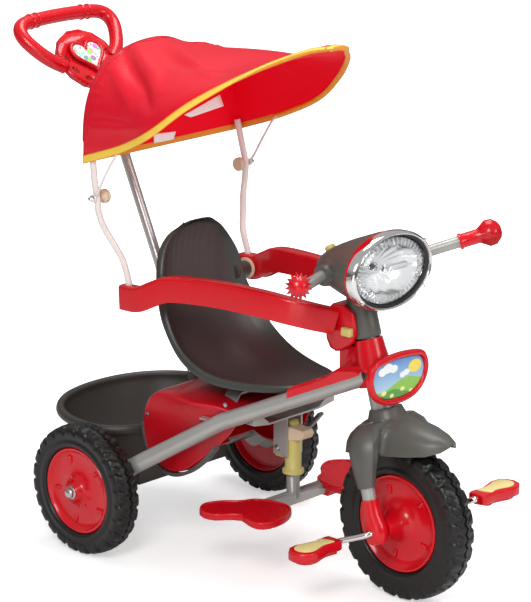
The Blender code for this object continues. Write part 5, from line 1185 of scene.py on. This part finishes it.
def hem_rim(grid):
    """Each border point's edge, the cloth inwards of it, its inward way, normal and share of wire."""
    rows, columns = len(grid), len(grid[0])
    chain_length, chord, smoothings = 28, 0.006, 4
    border = [(0, c) for c in range(columns)] + [(r, columns - 1) for r in range(1, rows)]
    border += [(rows - 1, c) for c in range(columns - 2, -1, -1)] + [(r, 0) for r in range(rows - 2, 0, -1)]
    rim = []
    for r, c in border:
        way_r = 1 if r == 0 else -1 if r == rows - 1 else 0
        way_c = 1 if c == 0 else -1 if c == columns - 1 else 0
        chain = []
        for k in range(1, chain_length):
            row, column = min(max(r + way_r * k, 0), rows - 1), min(max(c + way_c * k, 0), columns - 1)
            chain.append(grid[row][column])
        edge = grid[r][c]
        inward = (walk(edge, chain, chord) - edge).normalized()
        ahead = grid[min(r + 1, rows - 1)][c] - grid[max(r - 1, 0)][c]
        aside = grid[r][min(c + 1, columns - 1)] - grid[r][max(c - 1, 0)]
        if c in (0, columns - 1) and r not in (0, rows - 1):
            normal = ahead.cross(inward) if c == 0 else inward.cross(ahead)
        else:
            normal = inward.cross(aside) if r == 0 else aside.cross(inward)
        normal.normalize()
        depth = 0.0 if r <= BACK_ROWS else step_up(at(0, WIRE_ENTERS, 0).y - edge.y, 0.0, 0.020)
        rim.append([edge, chain, inward, normal, depth])
    for _ in range(smoothings):
        neighbours = zip(rim[-1:] + rim[:-1], rim, rim[1:] + rim[:1])
        ways = [(a[2] + b[2] + c[2], a[3] + b[3] + c[3]) for a, b, c in neighbours]
        for spot, (inward, normal) in zip(rim, ways):
            normal.normalize()
            spot[3] = normal
            spot[2] = (inward - normal * inward.dot(normal)).normalized()
    return rim


def wire_spot(edge, inward, normal, depth):
    """The middle of the wire that runs inside the hem."""
    return edge + inward * 0.0044 - normal * (0.0014 + 0.0022 * depth)


def hem_section(edge, chain, inward, normal, depth):
    """The binding's closed outline at one border point: over the cloth's edge and back round the wire."""
    wire = wire_spot(edge, inward, normal, depth)
    swell = 0.0007 + 0.0025 * depth
    far, middle = walk(edge, chain, BINDING_WIDTH), walk(edge, chain, BINDING_WIDTH * 0.5)
    return [
        far + normal * 0.0009, far + normal * 0.0015, middle + normal * 0.0019, edge + normal * 0.0017,
        edge - inward * 0.0012 + normal * 0.0006, edge - inward * 0.0013 - normal * 0.0008,
        wire - inward * swell, wire - (inward + normal) * swell * 0.72, wire - normal * swell,
        wire + (inward - normal) * swell * 0.72, walk(edge, chain, BINDING_WIDTH * 0.72) - normal * 0.0016,
        walk(edge, chain, BINDING_WIDTH * 0.74) - normal * 0.0010, middle + normal * 0.0002,
    ]


def canopy_hem(rim):
    """The binding, yellow outside and a darker orange copy on its inner side for painted shade, and the tape
    along both of its edges.
    """
    rings = [hem_section(*spot) for spot in rim]
    rings = [ring + ring[:1] for ring in rings]
    strip = grid_mesh(rings + rings[:1])
    strip.faces.index_update()
    # The inner half of each section gets the painted shade of the binding.
    for face in strip.faces:
        face.material_index = 1 if face.index % (len(rings[0]) - 1) >= 5 else 0
    binding = add_piece("canopy_binding", strip, "binding", "shade", 50.0)
    binding.data.materials.append(FINISH["binding_painted_shade"])
    inner = bead([ring[1] for ring in rings], 0.0008)
    outer = bead([ring[4] for ring in rings], 0.0007)
    edging = add_piece("canopy_binding_edges", together(inner, outer), "orange_edge", "shade", 70.0)
    return binding, edging


def canopy_stitching(grid):
    """The seam between the back panel and the arch: a row of stitches and a cord."""
    seam = grid[BACK_ROWS + 1][3:-3]
    normals = [(p - at(0, -0.06, 0.66)).normalized() for p in seam]
    path = [p + n * (0.0009 + 0.0004 * (i % 2)) for i, (p, n) in enumerate(zip(seam, normals))]
    cord = [p + (p - at(0, -0.10, 0.72)).normalized() * 0.0004 for p in grid[BACK_ROWS][2:-2]]
    bm = together(tube(path, 0.0005, 6), tube(cord, 0.0014, 8))
    stitching = add_piece("canopy_stitching", bm, "red_edge", "shade", 70.0)
    return stitching


def canopy_labels():
    """Two blank white labels inside the back panel, at the places where the camera sees them."""
    places = (
        ((184.2, 115.0), (219.7, 94.6), (223.6, 106.0), (190.5, 117.4)),
        ((153.8, 134.0), (175.8, 131.4), (173.6, 139.4), (154.0, 143.2)),
    )
    across, down = 8, 6
    labels = []
    for corners in places:
        a, b, c, d = [seen_at(u, v, 1, at(0, CANOPY_REAR - 0.0042, 0).y) for u, v in corners]
        rows = [[a.lerp(b, i / across).lerp(d.lerp(c, i / across), j / down) for i in range(across + 1)]
                for j in range(down + 1)]
        for j, row in enumerate(rows):
            for i, p in enumerate(row):
                p.y -= 0.0012 * math.sin(math.pi * i / across) * math.sin(math.pi * j / down)
        labels.append(grid_mesh(rows))
    # The labels' finish glows with painted light.
    tags = add_piece("canopy_labels", together(*labels), "label", "shade", 60.0, 0.0005)
    return tags


def canopy():
    """The cloth and all that is sewn to it."""
    grid = canopy_rows()
    # The inner side takes the lining finish, whose glow is painted light.
    sheet = add_piece("canopy_cloth", grid_mesh(grid), "red_cloth", "shade", 60.0, CLOTH_WALL, "lining_painted_glow")
    stands_for(sheet, "canopy")
    rim = hem_rim(grid)
    binding, edging = canopy_hem(rim)
    stitching = canopy_stitching(grid)
    tags = canopy_labels()
    wire(rim)


def wire(rim):
    """A bow from eye to eye, up and forwards into the hem and round the peak."""
    gap, half_eye, eye_radius, hidden_radius = 0.0003, 0.0023, 0.0046, 0.0010
    eye = CANOPY_BOLT[0] + STAY_RADIUS + gap + half_eye
    held = [spot for spot in rim if spot[4] > 0.6]
    inside = [wire_spot(edge, inward, normal, depth) for edge, _, inward, normal, depth in held]
    free = [Vector((eye, 0.0048, 0.5975)), Vector((eye, -0.0042, 0.608)),
            Vector((eye + 0.001, -0.0262, 0.644)), Vector((eye, -0.0460, 0.672))]
    lead = smooth([at(*p) for p in free] + [inside[0]], 6)
    tail = smooth([at(-p.x, p.y, p.z) for p in free] + [inside[-1]], 6)
    hidden = lead[-3:] + inside[3:-3:2] + tail[::-1][:3]
    eyes = []
    for sign in SIDES.values():
        spot = Matrix.Translation(at(eye * sign, *CANOPY_BOLT[1:])) @ Matrix.Rotation(math.pi / 2, 4, "Y")
        ring = [(eye_radius + a, b) for a, b in round_section(WIRE_RADIUS, 10)]
        eyes.append(spun(ring, spot, 24))
    ends = [tube(part[:-1], WIRE_RADIUS, 10) for part in (lead, tail)]
    bm = together(ends[0], tube(hidden, hidden_radius, 8), ends[1], *eyes)
    stands_for(add_piece("canopy_bow", bm, "white_paint", "shade", 50.0), "canopy_wire")


canopy()
guard()
stays()


# Basket and fairing


def filled(rows):
    """A solid body through rows of points, its two ends filled."""
    bm = grid_mesh(rows)
    bmesh.ops.remove_doubles(bm, verts=bm.verts, dist=ROW_WELD)
    bmesh.ops.holes_fill(bm, edges=[e for e in bm.edges if e.is_boundary], sides=200)
    return bm


def basket():
    """A finer bowl with a rolled rim, and the tunnel in it for the axle."""
    middle, front, rear, half_x, turns, squareness = 0.047, -0.054, 0.212, 0.174, 96, 0.92
    profile = smooth([Vector(p) for p in (
        (-0.088, 0.0872, 0), (-0.078, 0.0885, 0), (-0.062, 0.1020, 0), (-0.0350, 0.140, 0),
        (-0.0125, 0.186, 0), (-0.0080, 0.1885, 0), (-0.0015, 0.1890, 0), (0.0002, 0.1950, 0),
        (-0.0030, 0.2020, 0), (-0.0090, 0.2030, 0), (-0.0140, 0.1985, 0), (-0.0165, 0.186, 0),
        (-0.0385, 0.140, 0), (-0.0655, 0.1045, 0), (-0.080, 0.0918, 0), (-0.090, 0.0902, 0))], 3)
    rows = []
    for spot in profile:
        row = []
        for i in range(turns + 1):
            t = 2 * math.pi * i / turns
            c, v = math.cos(t), math.sin(t)
            reach = rear - middle if v > 0 else middle - front
            inward = spot.x * (1.0 if v > 0 else 1.0 + 0.35 * v)
            x = (half_x + spot.x) * math.copysign(abs(c) ** squareness, c)
            y = middle + (reach + inward) * math.copysign(abs(v) ** squareness, v)
            row.append(at(x, y, spot.y))
        rows.append(row)
    bm = filled(rows)
    tunnel = soften(block(at(-0.104, -0.011, 0.0885), at(0.104, 0.011, 0.1215)), 0.003)
    stands_for(add_piece("basket_moulding", together(bm, tunnel), "basket_black", "frame", 50.0), "basket")


def tube_middle(y):
    """The frame tube's middle at a distance along the tricycle."""
    start = Vector((TUBE_START_X, HEAD_Y - ORIGIN_SHIFT.y, TUBE_START_Z))
    bend, rear = Vector(TUBE_BEND), Vector(TUBE_REAR)
    a, b = (start, bend) if y < bend.y else (bend, rear)
    return a.lerp(b, (y - a.y) / (b.y - a.y))


def fairing():
    """The red moulding between the tubes: a rounded shell, open underneath between its side skirts."""
    shape = ((-0.048, 0.196), (-0.049, 0.240), (-0.070, 0.270), (-0.104, 0.281), (-0.150, 0.277),
             (-0.200, 0.272), (-0.228, 0.262), (-0.237, 0.248), (-0.218, 0.216), (-0.186, 0.182),
             (-0.150, 0.155), (-0.116, 0.143), (-0.084, 0.148), (-0.058, 0.168))
    shape = smooth([Vector((0, y, z)) for y, z in shape], 4, closed=True)
    mid_y, mid_z, widest = -0.140, 0.212, 0.131
    rows = []
    half_way = [(1.0, 0.905), (0.992, 0.94), (0.97, 0.97), (0.94, 0.985), (0.88, 0.996), (0.80, 1.0),
                (0.6, 1.0), (0.3, 1.01)]
    for share, size in [(-a, b) for a, b in half_way] + [(0.0, 1.02)] + half_way[::-1]:
        row = []
        for p in shape:
            half = min(widest, tube_middle(min(max(p.y, -0.43), -0.095)).x - 0.014 + 0.004)
            row.append(at(share * half, mid_y + (p.y - mid_y) * size, mid_z + (p.z - mid_z) * size))
        rows.append(row + row[:1])
    bm = filled(rows)
    under = []
    for face in bm.faces:
        spot = face.calc_center_median() - ORIGIN_SHIFT
        if abs(spot.x) < 0.110 and spot.y < -0.080 and spot.z < 0.222 + (-0.095 - spot.y) * 0.24:
            under.append(face)
    bmesh.ops.delete(bm, geom=under, context="FACES")
    bmesh.ops.recalc_face_normals(bm, faces=bm.faces)
    bmesh.ops.solidify(bm, geom=bm.faces, thickness=0.0030)
    stands_for(add_piece("fairing_shell", bm, "red_matte", "frame", 45.0), "rear_fairing")
    screw_x = -0.1305
    head = [(0, 0.0016), (0.0022, 0.0016), (0.0036, 0.0008), (0.0038, -0.0010), (0, -0.0010)]
    places = [seen_at(u, v, 0, screw_x) for u, v in ((147.5, 414.0), (225.0, 405.0))]
    heads = [spun(head, side_frame(spot, -1.0), 20) for spot in places]
    add_piece("fairing_screws", together(*heads), "steel", "frame", 40.0)


def fairing_lips():
    """The dark moulded edge on each side of the fairing, from the basket's rim down and forwards."""
    contour = [(-0.047, 0.214), (-0.050, 0.196), (-0.062, 0.168), (-0.084, 0.145), (-0.116, 0.1395),
               (-0.150, 0.151), (-0.186, 0.178), (-0.214, 0.208)]
    for label, side in SIDES.items():
        path = smooth([at(0.1235 * side, y, z) for y, z in contour], 5)
        strip = skin(frames_along(path, up=(1, 0, 0)), round_box(0.0060, 0.0130, 0.0018))
        add_piece("fairing_lip_" + label, strip, "dark_grey", "frame", 40.0)


def wheel_discs():
    """Grey covers on the inner faces of the rear wheels."""
    cover = [(0.0125, -0.0100), (0.0300, -0.0090), (0.0325, -0.0070), (0.0325, -0.0035), (0.0180, -0.0035),
             (0.0125, -0.0060)]
    for label, side in SIDES.items():
        bm = spun(cover, side_frame(rear_centre(side), side), 48)
        disc = add_piece("wheel_disc_" + label, bm, "wheel_disc", label + "_rear_wheel", 40.0)


basket()
fairing()
fairing_lips()
wheel_discs()


# Push handle


def heart(scale):
    """A wide heart, point down."""
    steps, half_width, half_height, lift = 48, 0.0300, 0.0285, 0.005
    points = []
    for i in range(steps):
        t = 2 * math.pi * i / steps
        u = 16 * math.sin(t) ** 3
        v = 13 * math.cos(t) - 5 * math.cos(2 * t) - 2 * math.cos(3 * t) - math.cos(4 * t)
        points.append((scale * u * half_width / 16, lift + scale * v * half_height / 15))
    return points


def push_handle():
    """The plate kept from the solid, a finer loop with four collars, and the heart panel."""
    node = NODES["push_handle"]
    bm = bmesh.new()
    bm.from_mesh(node.data)
    bmesh.ops.remove_doubles(bm, verts=bm.verts, dist=SOLID_WELD)
    inner = HANDLE.inverted()
    local = {v: inner @ v.co for v in bm.verts}
    loose = [v for v, p in local.items() if math.hypot(p.x, p.y) > 0.0640 and p.z > -0.0150]
    bmesh.ops.delete(bm, geom=loose, context="VERTS")
    half = [(-0.053, -0.006), (-0.075, 0.013), (-0.092, 0.038), (-0.1015, 0.063), (-0.0975, 0.0815),
            (-0.0800, 0.0915), (-0.041, 0.0950), (0.0, 0.0960)]
    outline = half + [(-u, v) for u, v in reversed(half[:-1])]
    way = HANDLE.to_3x3() @ Vector((0, 0, 1))
    path = smooth([HANDLE @ Vector((u, v, -0.0015)) for u, v in outline], 6)
    loop = tube(path, 0.0120, 28, up=way)
    ring = [(0.0118, -0.0022), (0.0132, -0.0014), (0.0137, 0.0), (0.0132, 0.0014), (0.0118, 0.0022)]
    rings = []
    for share in (0.392, 0.408, 0.592, 0.608):
        i = int(share * (len(path) - 1))
        rings.append(spun(ring, along(path[i], path[i + 1] - path[i]), 28))
    made = add_piece("handle_moulding", together(bm, loop, *rings), "red_gloss", "frame", 34.0)
    stands_for(made, "push_handle")
    face = HANDLE @ Matrix.Translation((0, 0, 0.0094))
    rim = bead([face @ Vector((u, v, 0.0004)) for u, v in heart(1.08)], 0.0032, 10)
    add_piece("heart_rim", rim, "red_gloss", "frame", 60.0)
    card = slab(heart(0.97), 0.0012, HANDLE @ Matrix.Translation((0, 0, 0.0098)))
    add_piece("heart_card", card, "spots", "frame", 40.0)


push_handle()


# Pedals and footrests


def pedal_pads():
    """A pale ribbed pad on each pedal, and the red body under it."""
    plan = [(0.0, 0.30), (0.10, 0.34), (0.32, 0.30), (0.50, 0.38), (0.68, 0.49), (0.84, 0.46), (0.96, 0.28),
            (1.0, 0.0)]
    rim = [Vector((u * 0.097, v * 0.050, 0)) for u, v in plan]
    outline = smooth(rim + [Vector((p.x, -p.y, 0)) for p in reversed(rim[1:-1])], 4, closed=True)
    pad = [(0.052 + (p.x - 0.050) * 0.74, p.y * 0.70) for p in outline]
    for label, side, y, z in (("left", 1.0, -0.572, 0.1516), ("right", -1.0, -0.456, 0.1024)):
        turn = Matrix.Rotation(0.0 if side > 0 else math.pi, 4, "Z")
        place = Matrix.Translation(at(side * 0.101, y, z)) @ turn @ Matrix.Translation((0, 0, 0.0085))
        top = soften(slab(pad, 0.0026, place), 0.0009, 2, 50.0)
        ribs = []
        for i in range(5):
            x = 0.029 + 0.0115 * i
            bar = slab(flat_bar(x, x + 0.0030, 0.0085), 0.0022, place @ Matrix.Translation((0, 0, 0.0006)))
            ribs.append(soften(bar, 0.0007, 1, 50.0))
        sole = [(p.x * 0.80 + 0.009, p.y * 0.72) for p in outline]
        under = soften(slab(sole, 0.006, place @ Matrix.Translation((0, 0, -0.0190))), 0.0015, 2, 50.0)
        bm, body = together(top, *ribs), label + "_pedal"
        add_piece("pedal_pad_" + label, bm, "pad_yellow", body, 40.0)
        add_piece("pedal_underside_" + label, under, "red_gloss", body, 40.0)


def within(spot, outline, margin):
    """Whether a spot lies inside a flat outline, away from its edge."""
    crossings = 0
    for a, b in zip(outline, outline[1:] + outline[:1]):
        if (a - spot).length < margin:
            return False
        if (a.y > spot.y) != (b.y > spot.y) and spot.x < a.x + (b.x - a.x) * (spot.y - a.y) / (b.y - a.y):
            crossings += 1
    return crossings % 2 == 1


def footrest_rims():
    """A rim and a field of small round grips on each rest."""
    outline = [(0.178, -0.236), (0.167, -0.218), (0.146, -0.208), (0.119, -0.219), (0.096, -0.241),
               (0.073, -0.253), (0.059, -0.284), (0.059, -0.316), (0.076, -0.336), (0.104, -0.349),
               (0.138, -0.350), (0.155, -0.336), (0.153, -0.312), (0.145, -0.289), (0.158, -0.271),
               (0.173, -0.258)]
    top = 0.1165
    across, down, pitch_x, pitch_y, margin = 26, 32, 0.0052, 0.0048, 0.0052
    for label, side in SIDES.items():
        path = smooth([at(0.0, y, top) + Vector((x * side, 0, 0)) for x, y in outline], 4, closed=True)
        centre = at(0.115 * side, -0.285, top)
        path = [p + (centre - p).normalized() * 0.0028 for p in path]
        dots = []
        for i in range(across):
            for j in range(down):
                x, y = 0.056 + pitch_x * (i + 0.5 * (j % 2)), -0.352 + pitch_y * j
                spot = at(x * side, y, top + 0.0001)
                if within(spot, path, margin):
                    dots.append(dome((0.0015, 0.0015, 0.0011), Matrix.Translation(spot), 6))
        bm = together(bead(path, 0.0026, 10), *dots)
        add_piece("footrest_grip_" + label, bm, "red_gloss", "footrest", 60.0)


pedal_pads()
footrest_rims()


# Floor, light and camera


def pale_floor():
    """A white floor that keeps the soft shadow near the tricycle and runs out to plain white."""
    made, tree, shader, place = blank("pale floor")
    away = put(tree, "ShaderNodeVectorMath", {"operation": "LENGTH"}, i0=place["Object"]).outputs["Value"]
    tone = spread(tree, noise(tree, place["Object"], 60.0, 3.0), 0.0, 1.0, 0.84, 0.86)
    tree.links.new(grey(tree, tone), shader.inputs["Base Color"])
    path = tree.nodes.new("ShaderNodeLightPath")
    glow = times(tree, path.outputs["Is Camera Ray"], spread(tree, away, 0.55, 1.40, 0.50, 1.20))
    tree.links.new(grey(tree, glow), shader.inputs["Emission Color"])
    adjust(shader, Roughness=0.9, Specular_IOR_Level=0.2, Emission_Strength=1.0)
    return made


def turned(made, spot, way):
    """Stands a light or the camera somewhere and turns it to look one way."""
    made.location = spot
    made.rotation_mode = "QUATERNION"
    made.rotation_quaternion = way.to_track_quat("-Z", "Y")


def studio():
    """The floor, the world's light, four lamps and the camera."""
    bm = bmesh.new()
    bmesh.ops.create_grid(bm, x_segments=1, y_segments=1, size=6.0)
    mesh = bpy.data.meshes.new("floor")
    bm.to_mesh(mesh)
    bm.free()
    floor = linked("floor", mesh)
    floor.data.materials.append(pale_floor())

    world = bpy.data.worlds.new("studio")
    bpy.context.scene.world = world
    world.use_nodes = True
    tree = world.node_tree
    back = tree.nodes["Background"]
    back.inputs["Color"].default_value = (1.0, 1.0, 1.0, 1.0)
    path = tree.nodes.new("ShaderNodeLightPath")
    seen = reckon(tree, path.outputs["Is Camera Ray"], path.outputs["Is Transmission Ray"], "MAXIMUM")
    spot = tree.nodes.new("ShaderNodeTexCoord").outputs["Generated"]
    rise = put(tree, "ShaderNodeSeparateXYZ", None, i0=spot).outputs[2]
    away = put(tree, "ShaderNodeMath", {"operation": "ABSOLUTE"}, i0=reckon(tree, rise, -0.10)).outputs[0]
    room = spread(tree, away, 0.06, 0.34, 0.10, 0.48)
    tree.links.new(reckon(tree, seen, room, "MAXIMUM"), back.inputs["Strength"])

    lamps = (
        ("key", (-2.4, -1.6, 2.4), (0.0, 0.0, 0.45), 1.1, 52.0),
        ("front", (0.6, -3.2, 1.6), (0.0, -0.1, 0.4), 1.2, 27.0),
        ("top", (0.5, 0.2, 2.8), (0.0, 0.0, 0.5), 1.2, 36.0),
        ("low", (-2.6, -2.0, 0.35), (0.0, 0.0, 0.35), 1.4, 10.0),
    )
    for name, spot, aim, size, power in lamps:
        data = bpy.data.lights.new(name, "AREA")
        data.shape = "SQUARE"
        data.size = size
        data.energy = power
        turned(linked(name, data), spot, Vector(aim) - Vector(spot))

    data = bpy.data.cameras.new("camera")
    data.sensor_fit = "HORIZONTAL"
    data.sensor_width = SENSOR_WIDTH
    data.lens = CAMERA_LENS
    camera = linked("camera", data)
    turned(camera, CAMERA_SPOT, -CAMERA_BACK)
    bpy.context.scene.camera = camera
    bpy.context.scene.view_settings.view_transform = "Standard"


studio()
